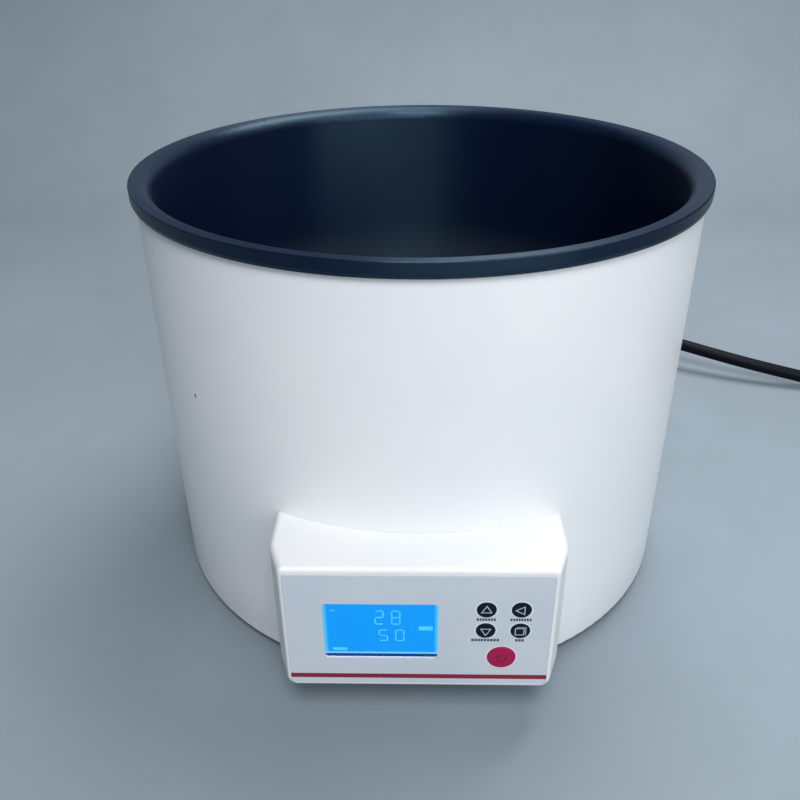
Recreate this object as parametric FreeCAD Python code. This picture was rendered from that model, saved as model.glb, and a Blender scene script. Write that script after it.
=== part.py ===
import FreeCAD, Part

# Laboratory water bath: a round heating bath with a control box on its front.
# Millimetres. The origin is on the bench under the bath's axis, +Z is up and the
# control box faces -Y. The drum carries the pan on a rim seal; studs on the pan's
# floor pull the heater stack and the base plate up against it.

import math
import os

from FreeCAD import Vector

# Drum
SHELL_RADIUS = 135.8
SHELL_SHEET = 0.8
SHELL_BEND = 1.4
SHELL_FOOT_FLANGE = 20.0
SHELL_TOP_FLANGE = 5.0
STAND_OFF = 5.0
RIM_HEIGHT = 213.3

# Pan
PAN_SHEET = 1.2
PAN_GAP = 7.5
PAN_FLOOR_BEND = 22.0
LIP_BEND = 6.0
LIP_OVERHANG = 2.4
LIP_FALL = 0.5
LIP_EDGE_BEND = 0.5
SKIRT_HEIGHT = 6.7
SKIRT_CURL = 1.6
SKIRT_TUCK = 0.7
SEAL_WIDTH = 3.5
SEAL_HEIGHT = 3.6
SEAL_INSET = 4.3

# Heater stack under the pan
SPREADER_INSET = 20.3
SPREADER_THICKNESS = 4.0
ELEMENT_INSET = 26.0
ELEMENT_RADIUS = 4.0
ELEMENT_GROOVE = 2.0
ELEMENT_OPENING = 34.0
ELEMENT_BEND_RADIUS = 11.0
ELEMENT_LEG = 9.0
END_SEAL_RADIUS = 3.6
END_SEAL_HEIGHT = 5.0
TAB_WIDTH = 6.3
TAB_SHEET = 0.8
TAB_HEIGHT = 8.0
TAB_EYE_RADIUS = 0.8
TAB_EYE_RISE = 2.5
CLAMP_INSET = 10.0
CLAMP_SHEET = 1.5
BOARD_GAP = 13.0
BOARD_THICKNESS = 9.0
STUD_RADIUS = 3.0
STUD_RING_RADIUS = 52.0
STUD_COUNT = 3
STUD_TURN = 90.0
STUD_TAIL = 1.0
NUT_FLATS = 10.0
NUT_HEIGHT = 5.0
WASHER_RADIUS = 9.0
WASHER_SHEET = 1.6
PROBE_RADIUS = 2.5
PROBE_PLACE = (-24.0, 12.0)
PROBE_TAIL = 9.0
PROBE_FLANGE_RADIUS = 6.5
PROBE_FLANGE_SHEET = 1.2
CUTOUT_RADIUS = 8.0
CUTOUT_PLACE = (24.0, 12.0)
CUTOUT_FLANGE_RADIUS = 13.5
CUTOUT_FLANGE_SHEET = 1.0
CUTOUT_TAIL = 4.0
CUTOUT_TAB_PLACE = 4.0
CUTOUT_TAB_WIDTH = 6.0
CUTOUT_TAB_HEIGHT = 8.0
JACKET_THICKNESS = 4.5
JACKET_LOW_GAP = 3.0
JACKET_TOP_GAP = 1.0

# Base
BASE_INSET = 5.8
BASE_SHEET = 1.2
BASE_BEND = 2.4
BASE_RISE = 8.0
BASE_FLANGE = 16.0
VENT_WIDTH = 4.0
VENT_RING_RADII = (66.0, 76.0, 86.0)
VENT_SPAN = 22.0
VENT_TURNS = (30.0, 90.0, 210.0, 330.0)
FLANGE_SCREW_INSET = 6.5
FLANGE_SCREW_COUNT = 6
FLANGE_SCREW_TURN = 30.0
FLANGE_SCREW_LENGTH = 6.0
FOOT_INSET = 16.0
FOOT_COUNT = 4
FOOT_RADIUS = 12.0
FOOT_TOE_RADIUS = 10.0
FOOT_BEND = 1.5
FOOT_TOP_BEND = 0.6
FOOT_WELL_RADIUS = 5.0
FOOT_SCREW_GRIP = 5.0
FOOT_SCREW_TAIL = 5.0

# Fasteners
M4_RADIUS = 2.0
M4_HEAD_RADIUS = 3.6
M4_HEAD_HEIGHT = 2.4
M4_NUT_FLATS = 7.0
M4_NUT_HEIGHT = 3.2
M3_RADIUS = 1.5
M3_HEAD_RADIUS = 2.9
M3_HEAD_HEIGHT = 2.0
M3_NUT_FLATS = 5.5
M3_NUT_HEIGHT = 2.4
TAPPER_RADIUS = 1.1
TAPPER_HEAD_RADIUS = 2.4
TAPPER_HEAD_HEIGHT = 1.6
TAPPER_BITE = 4.0
RECESS_WIDTH = 0.7
RECESS_SPAN_SHARE = 1.1
RECESS_DEPTH_SHARE = 0.55
HEAD_ROUND_SHARE = 0.45

# Control box
BOX_HALF_WIDTH = 62.8
BOX_FACE_HALF_WIDTH = 57.1
BOX_NECK = 7.0
BOX_TAPER = 15.7
BOX_LOW = 23.6
BOX_TOP = 91.1
BOX_WALL = 2.4
BOX_FRONT_ROUND = 2.0
BOX_LOW_CORNER = 5.0
BOX_TOP_CORNER = 2.8
BOX_SHOULDER_ROUND = 14.0
BOX_SHOULDER_STEPS = 4
BOSS_RADIUS = 3.6
BOSS_TURN = 19.0
BOSS_LENGTH = 12.0
BOSS_FLOOR = 3.0
BOSS_OVERLAP = 0.6
HOUSING_GAP = 0.1

# Front film and display
FILM = 0.6
FILM_POCKET = 0.4
FILM_HALF_WIDTH = 55.6
FILM_LOW = 26.2
FILM_TOP = 87.6
FILM_CORNER = 1.2
WINDOW_CENTRE = -15.9
WINDOW_MIDDLE = 56.7
WINDOW_WIDTH = 48.2
WINDOW_HEIGHT = 31.4
WINDOW_CORNER = 1.4
WINDOW_CORNER_GROWTH = 0.4
WINDOW_RECESS = 1.2
LENS_MARGIN = 2.5
LENS_SHEET = 1.2
LCD_MARGIN = 3.0
LCD_SHEET = 2.8
BEZEL_WALL = 1.2
BEZEL_DEPTH = 6.0

# Keys: place across, place up, radius
KEYS = {
    "up_key": (28.2, 69.8, 4.0),
    "left_key": (42.6, 69.9, 4.0),
    "down_key": (28.2, 58.1, 4.0),
    "menu_key": (42.7, 58.1, 4.0),
    "power_key": (35.5, 42.5, 6.0),
}
KEY_PROUD = 0.5
KEY_EDGE = 0.3
KEY_TRAVEL = 0.4
KEY_FLANGE = 1.2
KEY_FLANGE_SHEET = 1.0
KEY_STEM_RADIUS = 1.75
KEY_STEM_GAP = 0.6
KEY_FIT = 0.10
FILM_FIT = 0.15
SWITCH_SIDE = 6.0
SWITCH_HEIGHT = 4.0
SWITCH_DEPTH = 2.0

# Boards
PCB = 1.6
CONTROL_BOARD_HALF_WIDTH = 52.0
CONTROL_BOARD_LOW = 32.0
CONTROL_BOARD_TOP = 84.0
POST_RADIUS = 2.8
POST_ACROSS = 48.2
POST_EDGE = 4.0
POST_BORE_RADIUS = 1.2
POST_BORE_DEPTH = 4.5
POWER_BOARD_PLACE = (0.0, -66.0)
POWER_BOARD_SIZE = (88.0, 46.0)
PILLAR_RADIUS = 3.0
PILLAR_HEIGHT = 5.0
PILLAR_INSET = 5.0
PILLAR_SCREW_TAIL = 3.0
WIRING_WIDTH = 60.0
WIRING_LOW = 30.0
WIRING_TOP = 56.0

# Electrical pieces: each block's place across, place back, width, depth and height
SOCKET_INSET = 10.0
REAR_SOCKET_SETBACK = 3.5
FRONT_SOCKET_SETBACK = 4.0
BOARD_REAR = POWER_BOARD_PLACE[1] + POWER_BOARD_SIZE[1] / 2
BOARD_FRONT = POWER_BOARD_PLACE[1] - POWER_BOARD_SIZE[1] / 2
REAR_SOCKET = (0.0, BOARD_REAR - REAR_SOCKET_SETBACK, POWER_BOARD_SIZE[0] - 2 * SOCKET_INSET, 5.0, 9.0)
FRONT_SOCKET = (0.0, BOARD_FRONT + FRONT_SOCKET_SETBACK, 22.0, 7.0, 8.0)
TRANSFORMER_INSET = 22.0
TRANSFORMER = (TRANSFORMER_INSET - POWER_BOARD_SIZE[0] / 2, -67.0, 26.0, 24.0, 18.0)
SHORT_EDGE = 1.0
CORE_DEPTH_SHARE = 0.55
BOBBIN_WIDTH_SHARE = 0.6
BOBBIN_HEIGHT_SHARE = 0.8
BOBBIN_CORNER = 2.0
RELAY = (9.0, -68.0, 20.0, 15.5, 15.5)
CASE_CORNER = 1.0
FUSE_INSET = 12.0
FUSE = (POWER_BOARD_SIZE[0] / 2 - FUSE_INSET, -68.0, 9.0, 24.0, 9.0)
FUSE_TRAY_SHARE = 0.5
FUSE_RADIUS = 2.7
FUSE_AXIS_SHARE = 0.6
FUSE_END_INSET = 3.0
FUSE_END_SHEET = 2.0
HEAD_ROOM = 13.4
TERMINAL_INSET = 39.8
TERMINAL_SIZE = (32.0, 14.0, 15.0)
TERMINAL_SPACING = 9.0
TERMINAL_ENTRY = 8.0
TERMINAL_BORE_RADIUS = 2.2
TERMINAL_BORE_DEPTH = 4.0
EARTH_ACROSS = -34.0
EARTH_INSET = 45.8
EARTH_HEIGHT = 14.0
EARTH_NUT_RISE = 6.0
CABLE_WIDTH = 16.0
CABLE_SHEET = 1.2
CABLE_BEND = 8.0
CABLE_STRAIGHT = 14.0
CONNECTOR = (0.0, 43.0, 20.0, 7.0, 6.0)
LEAD_RADIUS = 1.2
LEAD_SQUARE = 6.0
LEAD_DROP = 5.0
LEAD_PITCH = 3.6
CUTOUT_LEAD_DROP = 4.0
CUTOUT_LEAD_END = 12.0
CUTOUT_LEAD_SPREAD = 3.0
PROBE_LEAD_END = 2.0

# Inner leads: points chosen by hand, from one fitting to the other
HEATER_ROUTE = ((62.0, 26.0), (36.0, 25.2), (0.0, 24.6))
PROBE_ROUTE = ((-19.0, -6.0, 33.0), (-13.0, -24.0, 28.0))
CUTOUT_ROUTE = ((-3.0, 32.0), (-22.0, 28.0))
CUTOUT_SHARES = (0.3, 0.9)
SUPPLY_ROUTE = ((60.0, 21.0), (25.0, 20.4), (-10.0, 21.0))
SUPPLY_ROUTE_SHARE = 0.9
SUPPLY_END_SHARE = 0.55

# Cord entry
GLAND_HEIGHT = 37.0
GLAND_RADIUS = 9.0
GLAND_FLATS = 24.0
GLAND_HEX = 4.5
GLAND_THREAD = 11.0
GLAND_NUT = 5.0
RELIEF_LENGTH = 19.0
RELIEF_ROOT = 9.5
RELIEF_TIP = 6.0
RELIEF_BARREL = 6.0
RELIEF_CORE = 5.3
RELIEF_GROOVE = 1.6
RELIEF_GROOVES = 5

# Cord: the points that its free stretch follows from the bend relief to the coil's tail
CORD_RADIUS = 4.5
CORD_ROUTE = (
    (0.0, 190.0, 37.0),
    (15.5, 222.0, 35.6),
    (45.0, 242.5, 33.2),
    (82.0, 245.5, 30.0),
    (124.0, 233.5, 26.8),
    (166.0, 211.5, 23.6),
    (210.5, 185.0, 19.8),
    (253.5, 165.0, 14.6),
    (292.0, 154.3, 9.0),
)
CORD_LAST_RUN = 26.0
COIL_CENTRE = (361.2, 75.1)
COIL_RADIUS = 49.5
COIL_ENTRY = 72.0
COIL_TAIL = 37.0
COIL_SLACK = 0.4
COIL_ROUND = 3.0
TIE_SHEET = 0.9
TIE_WIDTH = 12.0
TIE_TURN = 200.0
TIE_SLACK = 0.5
TIE_CORNER = 1.5
PLUG_SLEEVE = 20.0
PLUG_TIP_RADIUS = 6.0
PLUG_ROOT_RADIUS = 8.5
PLUG_SHOULDER = 9.0
PLUG_BODY = 25.0
PLUG_NECK = 20.0
PLUG_WIDTH = 27.0
PLUG_ROUND = 6.0
BLADE_SHEET = 1.5
BLADE_WIDTH = 6.35
BLADE_LENGTH = 16.0
BLADE_SPACING = 12.7
BLADE_RISE = 4.0
EARTH_PIN_RADIUS = 2.4
EARTH_PIN_LENGTH = 19.0
EARTH_PIN_DROP = 11.9

# Clearances
FACE_GAP = 0.3
FLAT_GAP = 0.05
HOLE_GAP = 0.4

# How far a cutting shape passes what it cuts, and how far joined shapes lap
PAST = 1.0
LAP = 0.5

# Sizes that follow
SHELL_LOW = STAND_OFF
SHELL_INNER = SHELL_RADIUS - SHELL_SHEET
RIM_RADIUS = SHELL_RADIUS + LIP_OVERHANG
PAN_RADIUS = SHELL_RADIUS - PAN_GAP
PAN_OUTER = PAN_RADIUS + PAN_SHEET
SPREADER_RADIUS = PAN_RADIUS - SPREADER_INSET
ELEMENT_RING_RADIUS = SPREADER_RADIUS - ELEMENT_INSET
CLAMP_RADIUS = SPREADER_RADIUS - CLAMP_INSET
BOARD_RADIUS = SHELL_INNER - BOARD_GAP
BASE_RADIUS = SHELL_RADIUS - BASE_INSET
BASE_STEP = BASE_RADIUS - BASE_FLANGE
FLANGE_SCREW_RING_RADIUS = BASE_RADIUS - FLANGE_SCREW_INSET
FOOT_RING_RADIUS = BASE_STEP - FOOT_INSET
BOX_SHOULDER = SHELL_RADIUS + BOX_NECK
BOX_FACE = BOX_SHOULDER + BOX_TAPER
TERMINALS = (0.0, SHELL_RADIUS - TERMINAL_INSET, *TERMINAL_SIZE)
EARTH_PLACE = (EARTH_ACROSS, SHELL_RADIUS - EARTH_INSET)
BASE_LOW = STAND_OFF - BASE_SHEET
BASE_FLOOR_LOW = BASE_LOW + BASE_RISE
BASE_FLOOR_TOP = BASE_FLOOR_LOW + BASE_SHEET
POWER_BOARD_LOW = BASE_FLOOR_TOP + PILLAR_HEIGHT
POWER_BOARD_TOP = POWER_BOARD_LOW + PCB
BOARD_LOW = POWER_BOARD_TOP + TRANSFORMER[4] + HEAD_ROOM
CLAMP_LOW = BOARD_LOW + BOARD_THICKNESS
CLAMP_TOP = CLAMP_LOW + CLAMP_SHEET
ELEMENT_Z = CLAMP_TOP + FACE_GAP + ELEMENT_RADIUS
SPREADER_LOW = ELEMENT_Z + ELEMENT_RADIUS + FACE_GAP - ELEMENT_GROOVE
PAN_FLOOR_LOW = SPREADER_LOW + SPREADER_THICKNESS
PAN_FLOOR_TOP = PAN_FLOOR_LOW + PAN_SHEET
LIP_TOP = RIM_HEIGHT - LIP_FALL
LIP_CENTRE_R = PAN_RADIUS + LIP_BEND
LIP_CENTRE_Z = LIP_TOP - LIP_BEND
SEAL_INNER = SHELL_RADIUS - SEAL_INSET
SEAL_OUTER = SEAL_INNER + SEAL_WIDTH
SEAL_TOP = LIP_CENTRE_Z - FLAT_GAP + math.sqrt(
    (LIP_BEND - PAN_SHEET) ** 2 - max(LIP_CENTRE_R - SEAL_INNER, 0.0) ** 2
)
SHELL_TOP = SEAL_TOP - SEAL_HEIGHT
FOOT_SEAT = BASE_FLOOR_LOW - FOOT_SCREW_GRIP
FILM_FRONT = -(BOX_FACE + FILM - FILM_POCKET)
FILM_BACK = -(BOX_FACE - FILM_POCKET)
BOX_INNER_FACE = -(BOX_FACE - BOX_WALL)
LENS_FRONT = FILM_FRONT + WINDOW_RECESS
LENS_BACK = LENS_FRONT + LENS_SHEET
LCD_FRONT = BOX_INNER_FACE + FLAT_GAP
LCD_BACK = LCD_FRONT + LCD_SHEET
BEZEL_BACK = LCD_FRONT + BEZEL_DEPTH
CONTROL_BOARD_FRONT = BEZEL_BACK
CONTROL_BOARD_BACK = CONTROL_BOARD_FRONT + PCB
SWITCH_FRONT = CONTROL_BOARD_FRONT - SWITCH_HEIGHT
RELIEF_START = SHELL_RADIUS + FLAT_GAP + GLAND_HEX
RELIEF_END = RELIEF_START + RELIEF_LENGTH
COIL_LOW = TIE_SHEET + FLAT_GAP
COIL_HIGH = COIL_LOW + 4 * CORD_RADIUS + COIL_SLACK
COIL_LAYERS = (COIL_LOW + CORD_RADIUS, COIL_LOW + 3 * CORD_RADIUS)
COIL_OUTER_TURN = COIL_RADIUS + CORD_RADIUS

UP = Vector(0, 0, 1)
BACK = Vector(0, 1, 0)
ORIGIN = Vector(0, 0, 0)


def polar(radius, degrees, z=0.0):
    """A point at a radius and a turn from +X, anticlockwise from above."""
    turn = math.radians(degrees)
    return Vector(radius * math.cos(turn), radius * math.sin(turn), z)


def spaced_turns(count, first):
    """Turns of a round pattern of that many, in degrees."""
    return [first + 360.0 * i / count for i in range(count)]


def rod(radius, low, high, x=0.0, y=0.0):
    """An upright cylinder between two heights."""
    return Part.makeCylinder(radius, high - low, Vector(x, y, low), UP)


def rod_back(radius, front, back, x, z):
    """A cylinder along Y between two depths."""
    return Part.makeCylinder(radius, back - front, Vector(x, front, z), BACK)


def block(x0, x1, y0, y1, z0, z1):
    """A box between pairs of limits."""
    return Part.makeBox(x1 - x0, y1 - y0, z1 - z0, Vector(x0, y0, z0))


def long_hole(start, end, radius, low, high):
    """An upright slot with round ends over two points."""
    along = Vector(end.x - start.x, end.y - start.y, 0)
    across = UP.cross(along).normalize() * radius
    foot, head = Vector(start.x, start.y, low), Vector(end.x, end.y, low)
    middle = face_of([foot - across, head - across, head + across, foot + across])
    ends = [rod(radius, low, high, p.x, p.y) for p in (start, end)]
    return middle.extrude(Vector(0, 0, high - low)).fuse(ends).removeSplitter()


def face_of(points):
    """A flat face inside a closed run of points."""
    return Part.Face(Part.makePolygon(points + [points[0]]))


def rounded_edges(points, radii):
    """Lines and tangent arcs through an open run of points; radii are those of the inner points."""
    edges = []
    start = points[0]
    for before, here, after, radius in zip(points, points[1:], points[2:], radii):
        to_before = (before - here).normalize()
        to_after = (after - here).normalize()
        half = to_before.getAngle(to_after) / 2
        if radius <= 0 or half > math.pi / 2 - 1e-6:
            edges.append(Part.makeLine(start, here))
            start = here
            continue
        run = radius / math.tan(half)
        first = here + to_before * run
        last = here + to_after * run
        inward = (to_before + to_after).normalize()
        middle = here + inward * (radius / math.sin(half) - radius)
        if (first - start).Length > 1e-7:
            edges.append(Part.makeLine(start, first))
        edges.append(Part.Arc(first, middle, last).toShape())
        start = last
    edges.append(Part.makeLine(start, points[-1]))
    return edges


def rounded_outline(points, radii):
    """A closed wire through the points with each corner rounded."""
    count = len(points)
    first = (points[0] + points[1]) * 0.5
    run = [first] + [points[(i + 1) % count] for i in range(count)] + [first]
    corner_radii = [radii[(i + 1) % count] for i in range(count)]
    return Part.Wire(rounded_edges(run, corner_radii))


def sheet_section(points, radii, thickness, normal):
    """The section of a bent sheet. The points are on one face, and the other lies to the left of the run."""
    sides = []
    for a, b in zip(points, points[1:]):
        sides.append(normal.cross(b - a).normalize())
    other = [points[0] + sides[0] * thickness]
    other_radii = []
    for i, radius in enumerate(radii):
        mean = (sides[i] + sides[i + 1]).normalize()
        reach = thickness / mean.dot(sides[i])
        other.append(points[i + 1] + mean * reach)
        turn = normal.dot(sides[i].cross(sides[i + 1]))
        change = -thickness if turn > 0 else thickness
        other_radii.append(max(radius + change, 0.0) if radius > 0 else 0.0)
    other.append(points[-1] + sides[-1] * thickness)
    edges = rounded_edges(points, radii)
    edges.append(Part.makeLine(points[-1], other[-1]))
    edges += rounded_edges(other[::-1], other_radii[::-1])
    edges.append(Part.makeLine(other[0], points[0]))
    return Part.Face(Part.Wire(Part.__sortEdges__(edges)))


def turned(face):
    """A full turn of a face about the bath's axis."""
    return face.revolve(ORIGIN, UP, 360)


def profile(pairs):
    """Points of a section, from pairs of radius and height."""
    return [Vector(r, 0, z) for r, z in pairs]


def hexagon(flats, low, high, x=0.0, y=0.0):
    """An upright hexagonal prism."""
    across = flats / math.sqrt(3)
    corners = [Vector(x, y, low) + polar(across, 60 * i) for i in range(6)]
    return face_of(corners).extrude(Vector(0, 0, high - low))


def pan_head(radius, seat, height):
    """A screw head below a seat at the origin, with a cross recess."""
    low = seat - height
    head = rod(radius, low, seat)
    low_edges = [e for e in head.Edges if e.BoundBox.ZMax < seat - height / 2]
    head = head.makeFillet(height * HEAD_ROUND_SHARE, low_edges)
    span = radius * RECESS_SPAN_SHARE
    top = low + height * RECESS_DEPTH_SHARE
    for wide, deep in ((span, RECESS_WIDTH), (RECESS_WIDTH, span)):
        head = head.cut(block(-wide / 2, wide / 2, -deep / 2, deep / 2, low - PAST, top))
    return head


def screw(shank, seat, length, head, head_height):
    """A pan-head screw with its head below the seat and its shank above it."""
    return pan_head(head, seat, head_height).fuse(rod(shank, seat - LAP / 2, seat + length))


def hex_nut(flats, low, high, bore, x, y):
    """A plain hexagonal nut round a stud."""
    return hexagon(flats, low, high, x, y).cut(rod(bore, low - PAST, high + PAST, x, y))


def tube(points, radius):
    """A round tube along straight runs joined by tangent arcs, and the radii of its arcs."""
    runs = [(b - a).Length for a, b in zip(points, points[1:])]
    radii = []
    for i in range(1, len(points) - 1):
        half = (points[i] - points[i - 1]).getAngle(points[i + 1] - points[i]) / 2
        radii.append(0.45 * min(runs[i - 1], runs[i]) / math.tan(half))
    path = Part.Wire(rounded_edges(points, radii))
    start = (points[1] - points[0]).normalize()
    section = Part.Wire(Part.makeCircle(radius, points[0], start))
    solid = path.makePipeShell([section], True, False)
    expected = math.pi * radius**2 * path.Length
    if abs(solid.Volume - expected) > 0.01 * expected:
        raise ValueError("a tube's volume isn't its section times its length")
    return solid, radii, path.Length


def stud_places():
    """The tie studs' places round the pan's floor."""
    return [polar(STUD_RING_RADIUS, turn) for turn in spaced_turns(STUD_COUNT, STUD_TURN)]


def foot_places():
    """The feet's places under the base."""
    return [polar(FOOT_RING_RADIUS, turn) for turn in spaced_turns(FOOT_COUNT, 45.0)]


def drum():
    """The rolled drum with its foot flange and top flange, wiring opening, screw holes and cord hole."""
    points = profile(
        [
            (SHELL_RADIUS - SHELL_FOOT_FLANGE, SHELL_LOW),
            (SHELL_RADIUS, SHELL_LOW),
            (SHELL_RADIUS, SHELL_TOP),
            (SHELL_RADIUS - SHELL_TOP_FLANGE, SHELL_TOP),
        ]
    )
    section = sheet_section(points, [SHELL_BEND, SHELL_BEND], SHELL_SHEET, Vector(0, -1, 0))
    body = turned(section)
    half = WIRING_WIDTH / 2
    body = body.cut(block(-half, half, -SHELL_RADIUS - PAST, 0, WIRING_LOW, WIRING_TOP))
    for turn, height in boss_places():
        start = polar(SHELL_INNER - PAST, turn, height)
        hole = Part.makeCylinder(M3_RADIUS + HOLE_GAP, SHELL_SHEET + 2 * PAST, start, polar(1, turn))
        body = body.cut(hole)
    body = body.cut(rod_back(GLAND_RADIUS + HOLE_GAP, 0, SHELL_RADIUS + PAST, 0, GLAND_HEIGHT))
    for turn in flange_screw_turns():
        place = polar(FLANGE_SCREW_RING_RADIUS, turn)
        high = SHELL_LOW + SHELL_SHEET + PAST
        body = body.cut(rod(M4_RADIUS + HOLE_GAP, SHELL_LOW - PAST, high, place.x, place.y))
    return body


def boss_places():
    """The turn and height of each of the control box's screw bosses."""
    inset = BOX_WALL + BOSS_RADIUS - BOSS_OVERLAP
    return [
        (-90.0 + side * BOSS_TURN, height)
        for height in (BOX_LOW + inset, BOX_TOP - inset)
        for side in (-1, 1)
    ]


def flange_screw_turns():
    """The turns of the screws through the base's flange."""
    return spaced_turns(FLANGE_SCREW_COUNT, FLANGE_SCREW_TURN)


def pan():
    """The drawn pan: floor, wall, lip with its round, sloping top, and skirt curled in at its edge."""
    points = profile(
        [
            (0.0, PAN_FLOOR_TOP),
            (PAN_RADIUS, PAN_FLOOR_TOP),
            (PAN_RADIUS, LIP_TOP),
            (RIM_RADIUS, RIM_HEIGHT),
            (RIM_RADIUS, RIM_HEIGHT - SKIRT_HEIGHT + SKIRT_CURL),
            (RIM_RADIUS - SKIRT_TUCK, RIM_HEIGHT - SKIRT_HEIGHT),
        ]
    )
    radii = [PAN_FLOOR_BEND, LIP_BEND, LIP_EDGE_BEND, SKIRT_CURL]
    return turned(sheet_section(points, radii, PAN_SHEET, Vector(0, 1, 0)))


def seal_ring():
    """The square silicone ring between the drum's top flange and the pan's lip."""
    return rod(SEAL_OUTER, SHELL_TOP, SEAL_TOP).cut(rod(SEAL_INNER, SHELL_TOP - PAST, SEAL_TOP + PAST))


def stack_holes(disc, low, high):
    """Bores a disc of the heater stack for the tie studs."""
    for place in stud_places():
        disc = disc.cut(rod(STUD_RADIUS + HOLE_GAP, low - PAST, high + PAST, place.x, place.y))
    return disc


def sensor_holes(disc, low, high):
    """Bores a disc for the probe, the cut-out and the element's legs."""
    below, above = low - PAST, high + PAST
    disc = disc.cut(rod(PROBE_RADIUS + HOLE_GAP, below, above, *PROBE_PLACE))
    disc = disc.cut(rod(CUTOUT_RADIUS + HOLE_GAP, below, above, *CUTOUT_PLACE))
    for foot, bend in zip(leg_feet(), leg_bends()):
        disc = disc.cut(long_hole(foot, bend, ELEMENT_RADIUS + HOLE_GAP, below, above))
    return disc


def spreader():
    """The aluminium spreader with its ring groove for the element."""
    disc = rod(SPREADER_RADIUS, SPREADER_LOW, PAN_FLOOR_LOW)
    groove = Part.makeTorus(ELEMENT_RING_RADIUS, ELEMENT_RADIUS + FACE_GAP, Vector(0, 0, ELEMENT_Z), UP)
    return stack_holes(disc.cut(groove), SPREADER_LOW, PAN_FLOOR_LOW)


def element():
    """The tubular element: most of a ring in the groove, with both ends bent down."""
    first, last = bend_turns()[0][0], bend_turns()[1][0] + 360.0
    start = polar(ELEMENT_RING_RADIUS, first, ELEMENT_Z)
    circle = Part.makeCircle(ELEMENT_RADIUS, start, polar(1, first - 90))
    pieces = [Part.Face(Part.Wire(circle)).revolve(ORIGIN, UP, last - first)]
    for turn, side in ((first, 1), (last, -1)):
        start = polar(ELEMENT_RING_RADIUS, turn, ELEMENT_Z)
        heading = polar(1, turn - side * 90)
        section = Part.Face(Part.Wire(Part.makeCircle(ELEMENT_RADIUS, start, heading)))
        pieces.append(section.revolve(start - UP * ELEMENT_BEND_RADIUS, heading.cross(-UP), 90))
        elbow_end = start + heading * ELEMENT_BEND_RADIUS - UP * ELEMENT_BEND_RADIUS
        pieces.append(Part.makeCylinder(ELEMENT_RADIUS, ELEMENT_LEG, elbow_end, -UP))
    return pieces[0].fuse(pieces[1:]).removeSplitter()


def bend_turns():
    """The turns at which the element's ring ends and its two legs bend down, with their sides."""
    bend_turn = math.degrees(ELEMENT_BEND_RADIUS / ELEMENT_RING_RADIUS)
    return [(90.0 + side * (ELEMENT_OPENING / 2 + bend_turn), side) for side in (1, -1)]


def leg_bends():
    """The points where the element's ring ends."""
    return [polar(ELEMENT_RING_RADIUS, turn, ELEMENT_Z) for turn, _ in bend_turns()]


def leg_feet():
    """The middles of the lower ends of the element's legs."""
    feet = []
    for turn, side in bend_turns():
        foot = polar(ELEMENT_RING_RADIUS, turn, ELEMENT_Z) + polar(ELEMENT_BEND_RADIUS, turn - side * 90)
        feet.append(foot - UP * (ELEMENT_BEND_RADIUS + ELEMENT_LEG))
    return feet


def end_seals():
    """The ceramic ends of the element's legs."""
    low = -UP
    return [Part.makeCylinder(END_SEAL_RADIUS, END_SEAL_HEIGHT, foot, low) for foot in leg_feet()]


def tabs():
    """The flat push-on tabs below the ceramic ends."""
    pieces = []
    for foot in leg_feet():
        top = foot.z - END_SEAL_HEIGHT
        half = TAB_WIDTH / 2
        tab = block(foot.x - half, foot.x + half, foot.y - TAB_SHEET / 2, foot.y + TAB_SHEET / 2,
                    top - TAB_HEIGHT, top)
        eye_z = top - TAB_HEIGHT + TAB_EYE_RISE
        pieces.append(tab.cut(rod_back(TAB_EYE_RADIUS, foot.y - PAST, foot.y + PAST, foot.x, eye_z)))
    return pieces


def clamp():
    """The round plate that holds the element up in its groove."""
    disc = rod(CLAMP_RADIUS, CLAMP_LOW, CLAMP_TOP)
    return sensor_holes(stack_holes(disc, CLAMP_LOW, CLAMP_TOP), CLAMP_LOW, CLAMP_TOP)


def board():
    """The hard insulation board under the clamp plate."""
    disc = rod(BOARD_RADIUS, BOARD_LOW, CLAMP_LOW)
    return sensor_holes(stack_holes(disc, BOARD_LOW, CLAMP_LOW), BOARD_LOW, CLAMP_LOW)


def stud_low():
    """The lower end of the tie studs, below their base nuts."""
    return BASE_FLOOR_LOW - NUT_HEIGHT - STUD_TAIL


def studs():
    """The tie studs, welded to the pan's floor."""
    return [rod(STUD_RADIUS, stud_low(), PAN_FLOOR_LOW, p.x, p.y) for p in stud_places()]


def clamp_washers():
    """The wide washers under the insulation board."""
    pieces = []
    for p in stud_places():
        washer = rod(WASHER_RADIUS, BOARD_LOW - WASHER_SHEET, BOARD_LOW, p.x, p.y)
        pieces.append(washer.cut(rod(STUD_RADIUS + HOLE_GAP, 0, BOARD_LOW + PAST, p.x, p.y)))
    return pieces


def nuts(top):
    """A nut on each tie stud, with its top face at that height."""
    bore = STUD_RADIUS + FLAT_GAP
    return [hex_nut(NUT_FLATS, top - NUT_HEIGHT, top, bore, p.x, p.y) for p in stud_places()]


def jacket():
    """The fibre sleeve round the pan's wall."""
    inner = PAN_OUTER + FACE_GAP
    low = PAN_FLOOR_TOP + PAN_FLOOR_BEND + JACKET_LOW_GAP
    high = SHELL_TOP - SHELL_SHEET - JACKET_TOP_GAP
    return rod(inner + JACKET_THICKNESS, low, high).cut(rod(inner, low - PAST, high + PAST))


def probe():
    """The temperature probe: a sheath up to the spreader with a flange under the board."""
    top = SPREADER_LOW - FLAT_GAP
    sheath = rod(PROBE_RADIUS, BOARD_LOW - PROBE_TAIL, top, *PROBE_PLACE)
    flange = rod(PROBE_FLANGE_RADIUS, BOARD_LOW - PROBE_FLANGE_SHEET, BOARD_LOW, *PROBE_PLACE)
    return sheath.fuse(flange)


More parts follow.
